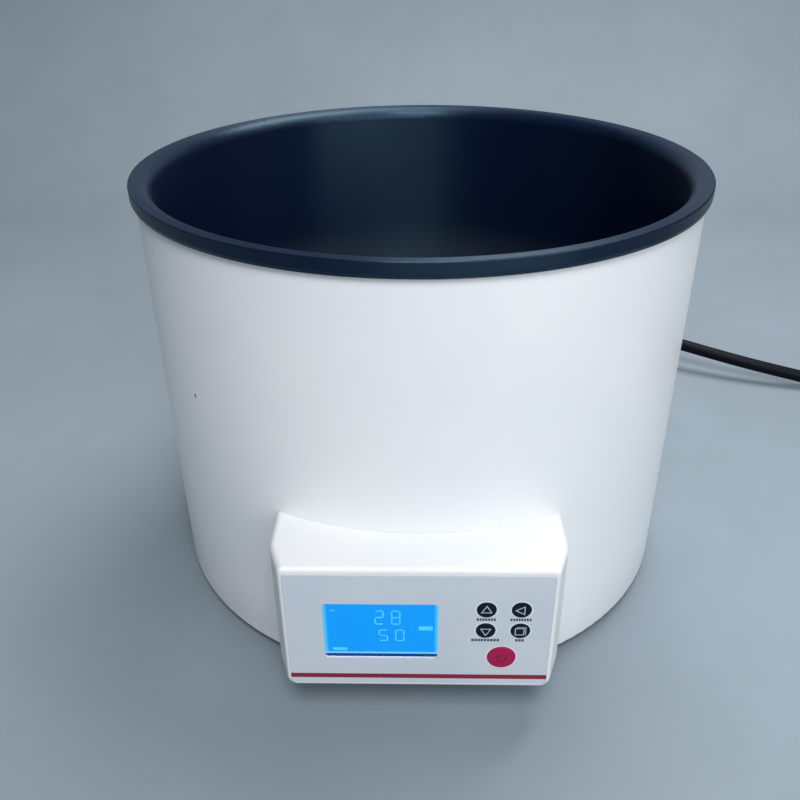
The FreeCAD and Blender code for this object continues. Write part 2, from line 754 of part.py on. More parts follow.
def cutout():
    """The bimetal cut-out against the spreader, with its flange and two tabs under the board."""
    x, y = CUTOUT_PLACE
    low = BOARD_LOW - CUTOUT_TAIL
    body = rod(CUTOUT_RADIUS, low, SPREADER_LOW - FLAT_GAP, x, y)
    flange = rod(CUTOUT_FLANGE_RADIUS, BOARD_LOW - CUTOUT_FLANGE_SHEET, BOARD_LOW, x, y)
    half_sheet, half_width = TAB_SHEET / 2, CUTOUT_TAB_WIDTH / 2
    for side, hole_x in zip((-1, 1), cutout_screw_places()):
        flange = flange.cut(rod(M3_RADIUS + FLAT_GAP, low, BOARD_LOW + PAST, hole_x, y))
        tab_x = x + side * CUTOUT_TAB_PLACE
        body = body.fuse(block(tab_x - half_sheet, tab_x + half_sheet, y - half_width, y + half_width,
                               low - CUTOUT_TAB_HEIGHT, low))
    return body.fuse(flange)


def cutout_screw_places():
    """The places across of the cut-out's two screws."""
    reach = (CUTOUT_RADIUS + CUTOUT_FLANGE_RADIUS) / 2
    return [CUTOUT_PLACE[0] + side * reach for side in (-1, 1)]


def cutout_screws():
    """The two screws that hold the cut-out's flange to the board."""
    seat = BOARD_LOW - CUTOUT_FLANGE_SHEET
    pieces = []
    for x in cutout_screw_places():
        piece = screw(M3_RADIUS, seat, BOARD_THICKNESS - PAST, TAPPER_HEAD_RADIUS, TAPPER_HEAD_HEIGHT)
        piece.translate(Vector(x, CUTOUT_PLACE[1], 0))
        pieces.append(piece)
    return pieces


def cutout_screw_holes(disc):
    """Bores the insulation board for the cut-out's screws."""
    for x in cutout_screw_places():
        disc = disc.cut(rod(M3_RADIUS + FLAT_GAP, BOARD_LOW - PAST, CLAMP_LOW + PAST, x, CUTOUT_PLACE[1]))
    return disc


def vent(radius, turn):
    """A curved slot through the base, with round ends."""
    low, high = BASE_FLOOR_LOW - PAST, BASE_FLOOR_TOP + PAST
    half = VENT_WIDTH / 2
    ring = rod(radius + half, low, high).cut(rod(radius - half, low, high))
    far = 2 * radius
    corners = [polar(far, turn - VENT_SPAN / 2, low), polar(far, turn + VENT_SPAN / 2, low)]
    wedge = face_of([Vector(0, 0, low), *corners]).extrude(Vector(0, 0, high - low))
    slot = ring.common(wedge)
    for side in (-1, 1):
        end = polar(radius, turn + side * VENT_SPAN / 2)
        slot = slot.fuse(rod(half, low, high, end.x, end.y))
    return slot.removeSplitter()


def base():
    """The dished base plate: a flange under the drum, a raised floor, vent slots and screw holes."""
    points = profile(
        [
            (0.0, BASE_FLOOR_LOW),
            (BASE_STEP, BASE_FLOOR_LOW),
            (BASE_STEP, BASE_LOW),
            (BASE_RADIUS, BASE_LOW),
        ]
    )
    section = sheet_section(points, [BASE_BEND, BASE_BEND - BASE_SHEET], BASE_SHEET, Vector(0, -1, 0))
    body = turned(section)
    for turn in VENT_TURNS:
        for radius in VENT_RING_RADII:
            body = body.cut(vent(radius, turn))
    for turn in flange_screw_turns():
        place = polar(FLANGE_SCREW_RING_RADIUS, turn)
        body = body.cut(rod(M4_RADIUS + HOLE_GAP, 0, BASE_FLOOR_TOP, place.x, place.y))
    for place in stud_places():
        body = body.cut(rod(STUD_RADIUS + HOLE_GAP, 0, BASE_FLOOR_TOP + PAST, place.x, place.y))
    for place in foot_places():
        body = body.cut(rod(M4_RADIUS + HOLE_GAP, 0, BASE_FLOOR_TOP + PAST, place.x, place.y))
    for x, y in pillar_places():
        body = body.cut(rod(M3_RADIUS + HOLE_GAP, 0, BASE_FLOOR_TOP + PAST, x, y))
    return body


def base_screws():
    """The screws up through the base's flange and the drum's foot flange."""
    pieces = []
    for turn in flange_screw_turns():
        piece = screw(M4_RADIUS, BASE_LOW, FLANGE_SCREW_LENGTH, M4_HEAD_RADIUS, M4_HEAD_HEIGHT)
        piece.translate(polar(FLANGE_SCREW_RING_RADIUS, turn))
        pieces.append(piece)
    return pieces


def feet():
    """The rubber feet: turned pads with a deep screw well from below."""
    pieces = []
    for place in foot_places():
        section = rounded_outline(
            [
                Vector(M4_RADIUS + HOLE_GAP, 0, BASE_FLOOR_LOW),
                Vector(FOOT_RADIUS, 0, BASE_FLOOR_LOW),
                Vector(FOOT_TOE_RADIUS, 0, 0),
                Vector(FOOT_WELL_RADIUS, 0, 0),
                Vector(FOOT_WELL_RADIUS, 0, FOOT_SEAT),
                Vector(M4_RADIUS + HOLE_GAP, 0, FOOT_SEAT),
            ],
            [0, FOOT_TOP_BEND, FOOT_BEND, 0, 0, 0],
        )
        pad = turned(Part.Face(section))
        pad.translate(place)
        pieces.append(pad)
    return pieces


def foot_screws():
    """The screws up through the feet into the base."""
    pieces = []
    length = BASE_FLOOR_TOP - FOOT_SEAT + FOOT_SCREW_TAIL
    for place in foot_places():
        piece = screw(M4_RADIUS, FOOT_SEAT, length, M4_HEAD_RADIUS, M4_HEAD_HEIGHT)
        piece.translate(place)
        pieces.append(piece)
    return pieces


def foot_nuts():
    """The nuts on the feet's screws, inside the base."""
    bore = M4_RADIUS + FLAT_GAP
    top = BASE_FLOOR_TOP + M4_NUT_HEIGHT
    return [hex_nut(M4_NUT_FLATS, BASE_FLOOR_TOP, top, bore, p.x, p.y) for p in foot_places()]


def box_section(y, half, inset):
    """The control box's outline at one depth: low corners well rounded, top corners less."""
    low, top = BOX_LOW + inset, BOX_TOP - inset
    low_round = BOX_LOW_CORNER - inset
    top_round = BOX_TOP_CORNER - inset
    points = [Vector(-half, y, low), Vector(half, y, low), Vector(half, y, top), Vector(-half, y, top)]
    return rounded_outline(points, [low_round, low_round, top_round, top_round])


def box_form(inset):
    """The control box's full form, with every face moved in by the inset."""
    narrowing = math.atan2(BOX_HALF_WIDTH - BOX_FACE_HALF_WIDTH, BOX_FACE - BOX_SHOULDER)
    radius = BOX_SHOULDER_ROUND - inset
    half = BOX_HALF_WIDTH - inset
    shoulder = BOX_SHOULDER - inset * math.tan(narrowing / 2)
    bend_start = shoulder - radius * math.tan(narrowing / 2)
    sections = [(0.0, half)]
    for i in range(BOX_SHOULDER_STEPS + 1):
        turn = narrowing * i / BOX_SHOULDER_STEPS
        sections.append((bend_start + radius * math.sin(turn), half - radius * (1 - math.cos(turn))))
    last_y, last_half = sections[-1]
    face = BOX_FACE - inset
    sections.append((face, last_half - (face - last_y) * math.tan(narrowing)))
    wires = [box_section(-y, wide, inset) for y, wide in sections]
    return Part.makeLoft(wires, True, True)


def flat_outline(centre, middle, width, height, corner, y):
    """A rounded rectangle facing the front, at one depth."""
    x0, x1 = centre - width / 2, centre + width / 2
    z0, z1 = middle - height / 2, middle + height / 2
    points = [Vector(x0, y, z0), Vector(x1, y, z0), Vector(x1, y, z1), Vector(x0, y, z1)]
    return rounded_outline(points, [corner] * 4)


def flat_block(outline, depth):
    """An outline pushed back along +Y."""
    return Part.Face(outline).extrude(BACK * depth)


def window_block(margin, front, back):
    """A block in line with the display window, larger by a margin."""
    corner = WINDOW_CORNER + margin * WINDOW_CORNER_GROWTH
    width, height = WINDOW_WIDTH + 2 * margin, WINDOW_HEIGHT + 2 * margin
    return flat_block(flat_outline(WINDOW_CENTRE, WINDOW_MIDDLE, width, height, corner, front), back - front)


def film_block(margin, front, back):
    """A block in line with the front film, larger by a margin."""
    width, height = 2 * (FILM_HALF_WIDTH + margin), FILM_TOP - FILM_LOW + 2 * margin
    middle = (FILM_TOP + FILM_LOW) / 2
    return flat_block(flat_outline(0.0, middle, width, height, FILM_CORNER, front), back - front)


def post_places():
    """The places of the control board's posts."""
    heights = (CONTROL_BOARD_LOW + POST_EDGE, CONTROL_BOARD_TOP - POST_EDGE)
    return [(x, z) for z in heights for x in (-POST_ACROSS, POST_ACROSS)]


def housing():
    """The moulded control box: hollow, open to the drum, with window, key bores, posts and bosses."""
    outer = box_form(0.0)
    front_edges = [e for e in outer.Edges if e.BoundBox.YMax < -BOX_FACE + 1e-3]
    outer = outer.makeFillet(BOX_FRONT_ROUND, front_edges)
    body = outer.cut(box_form(BOX_WALL))
    for turn, height in boss_places():
        out = polar(1, turn)
        body = body.fuse(Part.makeCylinder(BOSS_RADIUS, BOSS_LENGTH, polar(SHELL_RADIUS, turn, height), out))
    for x, z in post_places():
        body = body.fuse(rod_back(POST_RADIUS, BOX_INNER_FACE - LAP, CONTROL_BOARD_FRONT, x, z))
    body = body.cut(rod(SHELL_RADIUS + HOUSING_GAP, BOX_LOW - PAST, BOX_TOP + PAST))
    for turn, height in boss_places():
        start = polar(SHELL_RADIUS - PAST, turn, height)
        depth = BOSS_LENGTH - BOSS_FLOOR + 2 * PAST
        body = body.cut(Part.makeCylinder(M3_RADIUS + FLAT_GAP, depth, start, polar(1, turn)))
    for x, z in post_places():
        bore_front = CONTROL_BOARD_FRONT - POST_BORE_DEPTH
        body = body.cut(rod_back(POST_BORE_RADIUS, bore_front, CONTROL_BOARD_FRONT + PAST, x, z))
    body = body.cut(film_block(FILM_FIT, FILM_FRONT - PAST, FILM_BACK))
    body = body.cut(window_block(0.0, FILM_FRONT - PAST, BOX_INNER_FACE + PAST))
    body = body.cut(window_block(LENS_MARGIN + FILM_FIT, LENS_FRONT, BOX_INNER_FACE + PAST))
    for x, z, radius in KEYS.values():
        body = body.cut(rod_back(radius + KEY_FIT, FILM_FRONT - PAST, BOX_INNER_FACE + PAST, x, z))
    return body


def film():
    """The printed front film with its window and key holes."""
    sheet = film_block(0.0, FILM_FRONT, FILM_BACK)
    sheet = sheet.cut(window_block(0.0, FILM_FRONT - PAST, FILM_BACK + PAST))
    for x, z, radius in KEYS.values():
        sheet = sheet.cut(rod_back(radius + FILM_FIT, FILM_FRONT - PAST, FILM_BACK + PAST, x, z))
    return sheet


def bezel():
    """The frame round the display, open to the front and seated on the control board."""
    margin = LCD_MARGIN + BEZEL_WALL
    frame = window_block(margin, LCD_FRONT, BEZEL_BACK)
    return frame.cut(window_block(LCD_MARGIN + FLAT_GAP, LCD_FRONT - PAST, LCD_BACK + FLAT_GAP))


def key(x, z, radius):
    """A round key cap with its retaining flange and the stem that works its switch."""
    front = FILM_FRONT - KEY_PROUD
    cap = rod_back(radius, front, BOX_INNER_FACE + FLAT_GAP, x, z)
    cap = cap.makeFillet(KEY_EDGE, [e for e in cap.Edges if e.BoundBox.YMax < front + 1e-3])
    flange_back = BOX_INNER_FACE + FLAT_GAP + KEY_FLANGE_SHEET
    flange = rod_back(radius + KEY_FLANGE, BOX_INNER_FACE + FLAT_GAP, flange_back, x, z)
    stem_back = SWITCH_FRONT + SWITCH_DEPTH - KEY_TRAVEL - KEY_STEM_GAP
    stem = rod_back(KEY_STEM_RADIUS, flange_back - LAP, stem_back, x, z)
    return cap.fuse([flange, stem]).removeSplitter()


def switches():
    """The push switches on the control board, each with the bore that its key's stem works in."""
    half = SWITCH_SIDE / 2
    pieces = []
    for x, z, _ in KEYS.values():
        case = block(x - half, x + half, SWITCH_FRONT, CONTROL_BOARD_FRONT, z - half, z + half)
        bore = rod_back(KEY_STEM_RADIUS + KEY_FIT, SWITCH_FRONT - PAST, SWITCH_FRONT + SWITCH_DEPTH, x, z)
        pieces.append(case.cut(bore))
    return pieces


def control_board():
    """The board behind the front, with its screw holes."""
    half = CONTROL_BOARD_HALF_WIDTH
    body = block(-half, half, CONTROL_BOARD_FRONT, CONTROL_BOARD_BACK, CONTROL_BOARD_LOW, CONTROL_BOARD_TOP)
    for x, z in post_places():
        body = body.cut(rod_back(M3_RADIUS, CONTROL_BOARD_FRONT - PAST, CONTROL_BOARD_BACK + PAST, x, z))
    return body


def board_screws():
    """The screws that hold the control board to its posts."""
    pieces = []
    for x, z in post_places():
        piece = screw(TAPPER_RADIUS, 0.0, PCB + TAPPER_BITE, TAPPER_HEAD_RADIUS, TAPPER_HEAD_HEIGHT)
        piece.rotate(ORIGIN, Vector(1, 0, 0), 90)
        piece.translate(Vector(x, CONTROL_BOARD_BACK, z))
        pieces.append(piece)
    return pieces


def housing_screws():
    """The screws from inside the drum into the control box's bosses."""
    pieces = []
    for turn, height in boss_places():
        piece = screw(M3_RADIUS, 0.0, BOSS_LENGTH - BOSS_FLOOR, M3_HEAD_RADIUS, M3_HEAD_HEIGHT)
        out = polar(1, turn)
        seat = polar(SHELL_INNER - FLAT_GAP, turn, height)
        piece.Placement = FreeCAD.Placement(seat, FreeCAD.Rotation(UP, out))
        pieces.append(piece)
    return pieces


def pillar_places():
    """The places of the power board's pillars."""
    half_x = POWER_BOARD_SIZE[0] / 2 - PILLAR_INSET
    half_y = POWER_BOARD_SIZE[1] / 2 - PILLAR_INSET
    x, y = POWER_BOARD_PLACE
    return [(x + i * half_x, y + j * half_y) for i in (-1, 1) for j in (-1, 1)]


def power_board():
    """The power board on its pillars."""
    x, y = POWER_BOARD_PLACE
    half_x, half_y = POWER_BOARD_SIZE[0] / 2, POWER_BOARD_SIZE[1] / 2
    body = block(x - half_x, x + half_x, y - half_y, y + half_y, POWER_BOARD_LOW, POWER_BOARD_TOP)
    for px, py in pillar_places():
        body = body.cut(rod(M3_RADIUS + FLAT_GAP, 0, POWER_BOARD_TOP + PAST, px, py))
    return body


def pillars():
    """The threaded pillars between the base and the power board."""
    pieces = []
    for x, y in pillar_places():
        pillar = rod(PILLAR_RADIUS, BASE_FLOOR_TOP, POWER_BOARD_LOW, x, y)
        pieces.append(pillar.cut(rod(M3_RADIUS + FLAT_GAP, 0, POWER_BOARD_LOW + PAST, x, y)))
    return pieces


def pillar_screws():
    """The long screws up through base, pillars and power board, and their nuts."""
    pieces = []
    length = POWER_BOARD_TOP - BASE_FLOOR_LOW + PILLAR_SCREW_TAIL
    for x, y in pillar_places():
        piece = screw(M3_RADIUS, BASE_FLOOR_LOW, length, M3_HEAD_RADIUS, M3_HEAD_HEIGHT)
        piece.translate(Vector(x, y, 0))
        nut = hexagon(M3_NUT_FLATS, POWER_BOARD_TOP, POWER_BOARD_TOP + M3_NUT_HEIGHT, x, y)
        pieces.append(piece.fuse(nut))
    return pieces


def gland_body():
    """The cord gland: a hexagon outside the drum and a threaded barrel through it."""
    face = SHELL_RADIUS + FLAT_GAP
    barrel = rod_back(GLAND_RADIUS, SHELL_RADIUS - GLAND_THREAD, face + LAP, 0, GLAND_HEIGHT)
    hexagonal = hexagon(GLAND_FLATS, 0, GLAND_HEX)
    hexagonal.rotate(ORIGIN, Vector(1, 0, 0), -90)
    hexagonal.translate(Vector(0, face, GLAND_HEIGHT))
    body = barrel.fuse(hexagonal)
    return body.cut(rod_back(RELIEF_BARREL + FLAT_GAP, 0, face + GLAND_HEX + PAST, 0, GLAND_HEIGHT))


def gland_locknut():
    """The gland's nut inside the drum."""
    across = GLAND_FLATS / math.sqrt(3)
    face = math.sqrt(SHELL_INNER**2 - across**2) - FLAT_GAP
    nut = hexagon(GLAND_FLATS, 0, GLAND_NUT)
    nut.rotate(ORIGIN, Vector(1, 0, 0), -90)
    nut.translate(Vector(0, face - GLAND_NUT, GLAND_HEIGHT))
    return nut.cut(rod_back(GLAND_RADIUS + FLAT_GAP, 0, face + PAST, 0, GLAND_HEIGHT))


def bend_relief():
    """The moulded bend relief: a barrel in the gland and a tapered tail with flexing grooves."""
    barrel = rod_back(RELIEF_BARREL, SHELL_RADIUS - GLAND_THREAD, RELIEF_START + LAP, 0, GLAND_HEIGHT)
    centre = Vector(0, RELIEF_START, GLAND_HEIGHT)
    tail = Part.makeCone(RELIEF_ROOT, RELIEF_TIP, RELIEF_LENGTH, centre, BACK)
    body = barrel.fuse(tail)
    pitch = (RELIEF_LENGTH - 2 * RELIEF_GROOVE) / RELIEF_GROOVES
    for i in range(RELIEF_GROOVES):
        y = RELIEF_START + 2 * RELIEF_GROOVE + i * pitch
        end = y + RELIEF_GROOVE
        groove = rod_back(RELIEF_ROOT + PAST, y, end, 0, GLAND_HEIGHT)
        body = body.cut(groove.cut(rod_back(RELIEF_CORE, y - PAST, end + PAST, 0, GLAND_HEIGHT)))
    return body


def coil_point(turn, radius, z):
    """A point of the coil, by its turn and radius from the coil's centre."""
    return Vector(COIL_CENTRE[0], COIL_CENTRE[1], z) + polar(radius, turn)


def coil_heading():
    """The way that the cord runs as it meets the coil."""
    return polar(1, COIL_ENTRY - 90)


def cord_points():
    """The free stretch's points: from the bend relief, along the route, to the coil's tail."""
    start = Vector(0, RELIEF_END, GLAND_HEIGHT)
    tail = coil_point(COIL_ENTRY, COIL_OUTER_TURN, COIL_LAYERS[0]) - coil_heading() * COIL_TAIL
    before = tail - coil_heading() * CORD_LAST_RUN
    return [start] + [Vector(*p) for p in CORD_ROUTE] + [before, tail]


def cord():
    """The free stretch of the cord."""
    solid, radii, length = tube(cord_points(), CORD_RADIUS)
    print("cord: arc radii", [round(r) for r in radii], "length", round(length, 1))
    return solid


def coil():
    """The coiled stretch, as the outer shape of its turns with a straight tail at each end."""
    half = 2 * CORD_RADIUS + COIL_SLACK
    section = rounded_outline(
        [
            Vector(COIL_RADIUS - half, 0, COIL_LOW),
            Vector(COIL_RADIUS + half, 0, COIL_LOW),
            Vector(COIL_RADIUS + half, 0, COIL_HIGH),
            Vector(COIL_RADIUS - half, 0, COIL_HIGH),
        ],
        [COIL_ROUND] * 4,
    )
    ring = turned(Part.Face(section))
    ring.translate(Vector(COIL_CENTRE[0], COIL_CENTRE[1], 0))
    entry = coil_point(COIL_ENTRY, COIL_OUTER_TURN, COIL_LAYERS[0])
    leaving = coil_point(0, COIL_OUTER_TURN, COIL_LAYERS[1])
    tails = [
        Part.makeCylinder(CORD_RADIUS, COIL_TAIL, entry, coil_heading() * -1),
        Part.makeCylinder(CORD_RADIUS, COIL_TAIL, leaving, Vector(0, -1, 0)),
    ]
    return ring.fuse(tails)


def tie():
    """The strap round the coil's turns."""
    half = 2 * CORD_RADIUS + COIL_SLACK + TIE_SLACK
    inner = [COIL_RADIUS - half, COIL_RADIUS + half, COIL_LOW - FLAT_GAP, COIL_HIGH + FLAT_GAP]
    x0, x1, z0, z1 = inner
    sheet = TIE_SHEET
    y0, y1 = -TIE_WIDTH / 2, TIE_WIDTH / 2
    band = block(x0 - sheet, x1 + sheet, y0, y1, z0 - sheet, z1 + sheet)
    long_edges = [e for e in band.Edges if e.BoundBox.YLength > TIE_WIDTH / 2]
    band = band.makeFillet(TIE_CORNER, long_edges).cut(block(x0, x1, y0 - PAST, y1 + PAST, z0, z1))
    band.rotate(ORIGIN, UP, TIE_TURN)
    band.translate(Vector(COIL_CENTRE[0], COIL_CENTRE[1], 0))
    return band


def plug():
    """The moulded plug lying on the bench: a tapered sleeve, a neck that widens and a rounded body."""
    axis_z = COIL_LAYERS[1]
    start = coil_point(0, COIL_OUTER_TURN, axis_z) - BACK * COIL_TAIL
    sleeve = Part.makeCone(PLUG_TIP_RADIUS, PLUG_ROOT_RADIUS, PLUG_SLEEVE + PAST, start, -BACK)
    x = start.x
    neck_y = start.y - PLUG_SLEEVE
    wires = []
    for back, width, height in (
        (0.0, PLUG_NECK, PLUG_NECK),
        (PLUG_SHOULDER, PLUG_WIDTH, 2 * axis_z),
        (PLUG_SHOULDER + PLUG_BODY, PLUG_WIDTH, 2 * axis_z),
    ):
        wires.append(flat_outline(x, axis_z, width, height, PLUG_ROUND, neck_y - back))
    return sleeve.fuse(Part.makeLoft(wires, True, True))


def plug_pins():
    """The plug's two flat blades and its round earth pin."""
    axis_z = COIL_LAYERS[1]
    start = coil_point(0, COIL_OUTER_TURN, axis_z) - BACK * COIL_TAIL
    face = start.y - PLUG_SLEEVE - PLUG_SHOULDER - PLUG_BODY
    pieces = []
    for side in (-1, 1):
        x = start.x + side * BLADE_SPACING / 2
        z = axis_z + BLADE_RISE
        pieces.append(block(x - BLADE_SHEET / 2, x + BLADE_SHEET / 2, face - BLADE_LENGTH, face,
                            z - BLADE_WIDTH / 2, z + BLADE_WIDTH / 2))
    z = axis_z + BLADE_RISE - EARTH_PIN_DROP
    pieces.append(rod_back(EARTH_PIN_RADIUS, face - EARTH_PIN_LENGTH, face, start.x, z))
    return pieces


def standing_block(sizes, low):
    """An upright block from its place, width, depth and height."""
    x, y, wide, deep, high = sizes
    return block(x - wide / 2, x + wide / 2, y - deep / 2, y + deep / 2, low, low + high)


def softened(body, radius):
    """A body with its upright edges rounded."""
    return body.makeFillet(radius, [e for e in body.Edges if e.BoundBox.ZLength > SHORT_EDGE])


def transformer():
    """The board's small transformer: a core with a wound bobbin through it."""
    x, y, wide, deep, high = TRANSFORMER
    core = standing_block((x, y, wide, deep * CORE_DEPTH_SHARE, high), POWER_BOARD_TOP)
    bobbin_size = (wide * BOBBIN_WIDTH_SHARE, deep, high * BOBBIN_HEIGHT_SHARE)
    bobbin = standing_block((x, y, *bobbin_size), POWER_BOARD_TOP)
    return core.fuse(softened(bobbin, BOBBIN_CORNER))


def fuse_holder():
    """The fuse in its open holder on the power board."""
    x, y, wide, deep, high = FUSE
    tray = standing_block((x, y, wide, deep, high * FUSE_TRAY_SHARE), POWER_BOARD_TOP)
    reach = deep / 2 - FUSE_END_INSET
    glass = rod_back(FUSE_RADIUS, y - reach, y + reach, x, POWER_BOARD_TOP + high * FUSE_AXIS_SHARE)
    places = (y - reach, y + reach)
    ends = [standing_block((x, end_y, wide, FUSE_END_SHEET, high), POWER_BOARD_TOP) for end_y in places]
    return tray.fuse([glass, *ends])


def terminals():
    """The mains terminal block on the base, with a screw well for each pole."""
    x, y, _, _, high = TERMINALS
    body = softened(standing_block(TERMINALS, BASE_FLOOR_TOP), CASE_CORNER)
    top = BASE_FLOOR_TOP + high
    for i in (-1, 0, 1):
        place = x + i * TERMINAL_SPACING
        body = body.cut(rod(TERMINAL_BORE_RADIUS, top - TERMINAL_BORE_DEPTH, top + PAST, place, y))
    return body


def earth_stud():
    """The earth stud on the base with its two nuts."""
    x, y = EARTH_PLACE
    post = rod(M4_RADIUS, BASE_FLOOR_TOP, BASE_FLOOR_TOP + EARTH_HEIGHT, x, y)
    lows = (BASE_FLOOR_TOP, BASE_FLOOR_TOP + EARTH_NUT_RISE)
    return post.fuse([hexagon(M4_NUT_FLATS, low, low + M4_NUT_HEIGHT, x, y) for low in lows])


def socket_face():
    """The depth of the rear socket's wire side, and the height of its wires."""
    return REAR_SOCKET[1] + REAR_SOCKET[3] / 2, POWER_BOARD_TOP + REAR_SOCKET[4] / 2


def plugged(x):
    """A lead's last two points, square to the rear socket."""
    back, height = socket_face()
    return [Vector(x, back + LEAD_SQUARE, height), Vector(x, back, height)]


def lead(points):
    """One insulated lead through its points."""
    return tube(points, LEAD_RADIUS)[0]


def heater_leads():
    """The two leads from the element's tabs to the power board."""
    pieces = []
    for foot in leg_feet():
        x = foot.x
        tab_low = foot.z - END_SEAL_HEIGHT - TAB_HEIGHT
        points = [Vector(x, foot.y, tab_low), Vector(x, foot.y, tab_low - LEAD_SQUARE)]
        points += [Vector(x, y, z) for y, z in HEATER_ROUTE]
        pieces.append(lead(points + plugged(x)))
    return pieces


def probe_lead():
    """The probe's lead to the power board."""
    x, y = PROBE_PLACE
    low = BOARD_LOW - PROBE_TAIL
    points = [Vector(x, y, low), Vector(x, y, low - LEAD_DROP)]
    points += [Vector(*p) for p in PROBE_ROUTE]
    return lead(points + plugged(PROBE_ROUTE[-1][0] + PROBE_LEAD_END))


def cutout_leads():
    """The cut-out's two leads to the power board."""
    x, y = CUTOUT_PLACE
    low = BOARD_LOW - CUTOUT_TAIL - CUTOUT_TAB_HEIGHT
    pieces = []
    for side in (-1, 1):
        start_x = x + side * CUTOUT_TAB_PLACE
        end_x = x - CUTOUT_LEAD_END + side * CUTOUT_LEAD_SPREAD
        points = [Vector(start_x, y, low), Vector(start_x, y, low - CUTOUT_LEAD_DROP)]
        for share, (route_y, route_z) in zip(CUTOUT_SHARES, CUTOUT_ROUTE):
            points.append(Vector(start_x + (end_x - start_x) * share, route_y, route_z))
        pieces.append(lead(points + plugged(end_x)))
    return pieces


def supply_leads():
    """The leads inside the base: three from the cord to the terminals, and two on to the power board."""
    x, y, _, deep, _ = TERMINALS
    entry = BASE_FLOOR_TOP + TERMINAL_ENTRY
    inner = SHELL_RADIUS - GLAND_THREAD
    back, front = y + deep / 2, y - deep / 2
    pieces = []
    for i in (-1, 0, 1):
        place = x + i * TERMINAL_SPACING
        start = i * LEAD_PITCH
        points = [Vector(start, inner, GLAND_HEIGHT), Vector(start, inner - LEAD_DROP, GLAND_HEIGHT),
                  Vector(place, back + LEAD_SQUARE, entry), Vector(place, back, entry)]
        pieces.append(lead(points))
    for i in (-1, 1):
        place = x + i * TERMINAL_SPACING
        points = [Vector(place, front, entry), Vector(place, front - LEAD_SQUARE, entry)]
        points += [Vector(place * SUPPLY_ROUTE_SHARE, route_y, z) for route_y, z in SUPPLY_ROUTE]
        pieces.append(lead(points + plugged(place * SUPPLY_END_SHARE)))
    return pieces


def control_connector():
    """The connector on the back of the control board."""
    x, z, wide, high, deep = CONNECTOR
    return block(x - wide / 2, x + wide / 2, CONTROL_BOARD_BACK, CONTROL_BOARD_BACK + deep,
                 z - high / 2, z + high / 2)


def control_cable():
    """The flat cable from the power board through the drum's opening to the control board."""
    _, z, _, _, deep = CONNECTOR
    x, y, _, socket_deep, socket_high = FRONT_SOCKET
    start_z = POWER_BOARD_TOP + socket_high / 2
    start_y = y - socket_deep / 2
    end_y = CONTROL_BOARD_BACK + deep
    points = [
        Vector(x - CABLE_WIDTH / 2, start_y, start_z),
        Vector(x - CABLE_WIDTH / 2, start_y - CABLE_STRAIGHT, start_z),
        Vector(x - CABLE_WIDTH / 2, end_y + CABLE_STRAIGHT, z),
        Vector(x - CABLE_WIDTH / 2, end_y, z),
    ]
    section = sheet_section(points, [CABLE_BEND, CABLE_BEND], CABLE_SHEET, Vector(1, 0, 0))
    return section.extrude(Vector(CABLE_WIDTH, 0, 0))


def save(name, shape):
    """Writes one piece, or one group of separate solids."""
    solid = Part.makeCompound(shape) if isinstance(shape, list) else shape
    if not solid.isValid():
        raise ValueError(f"{name} isn't a valid solid")
    solid.exportStep(f"parts/{name}.step")
    print(name, len(solid.Solids), round(solid.Volume, 1))


def main():
    os.makedirs("parts", exist_ok=True)
    save("outer_shell", drum())
    save("bath_pan", pan())
    save("rim_seal", seal_ring())
    save("spreader_plate", spreader())
    save("heater_element", element())
    save("heater_end_seals", end_seals())
    save("heater_tabs", tabs())
    save("clamp_plate", clamp())
    save("insulation_board", cutout_screw_holes(board()))
    save("insulation_jacket", jacket())
    save("tie_studs", studs())
    save("clamp_washers", clamp_washers())
    save("clamp_nuts", nuts(BOARD_LOW - WASHER_SHEET))
    save("base_nuts", nuts(BASE_FLOOR_LOW))
    save("temperature_probe", probe())
    save("thermal_cutout", cutout())
    save("cutout_screws", cutout_screws())
    save("base_plate", base())
    save("base_screws", base_screws())
    save("rubber_feet", feet())
    save("foot_screws", foot_screws())
    save("foot_nuts", foot_nuts())
    save("control_housing", housing())
    save("housing_screws", housing_screws())
    save("front_overlay", film())
    save("display_lens", window_block(LENS_MARGIN, LENS_FRONT, LENS_BACK))
    save("lcd_glass", window_block(LCD_MARGIN, LCD_FRONT, LCD_BACK))
    save("lcd_bezel", bezel())
    for name, (x, z, radius) in KEYS.items():
        save(name, key(x, z, radius))
    save("key_switches", switches())
    save("control_board", control_board())
    save("board_screws", board_screws())
    save("control_connector", control_connector())
    save("control_cable", control_cable())
    save("power_board", power_board())
    save("board_pillars", pillars())
    save("pillar_screws", pillar_screws())
    save("board_sockets", [standing_block(sizes, POWER_BOARD_TOP) for sizes in (REAR_SOCKET, FRONT_SOCKET)])
    save("transformer", transformer())
    save("relay", softened(standing_block(RELAY, POWER_BOARD_TOP), CASE_CORNER))
    save("fuse_holder", fuse_holder())
    save("terminal_block", terminals())
    save("earth_stud", earth_stud())
    save("heater_leads", heater_leads())
    save("probe_lead", probe_lead())
    save("cutout_leads", cutout_leads())
    save("supply_leads", supply_leads())
    save("gland_body", gland_body())
    save("gland_locknut", gland_locknut())
    save("bend_relief", bend_relief())
    save("power_cord", cord())
    save("cord_coil", coil())
    save("cord_tie", tie())
    save("plug_body", plug())
    save("plug_pins", plug_pins())


main()
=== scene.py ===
"""A round laboratory water bath: a coated pan in a white drum with a control box on its front."""

import logging
import math
from dataclasses import dataclass, field, replace
from enum import Enum
from typing import Sequence

import bmesh
import bpy
from mathutils import Matrix, Vector


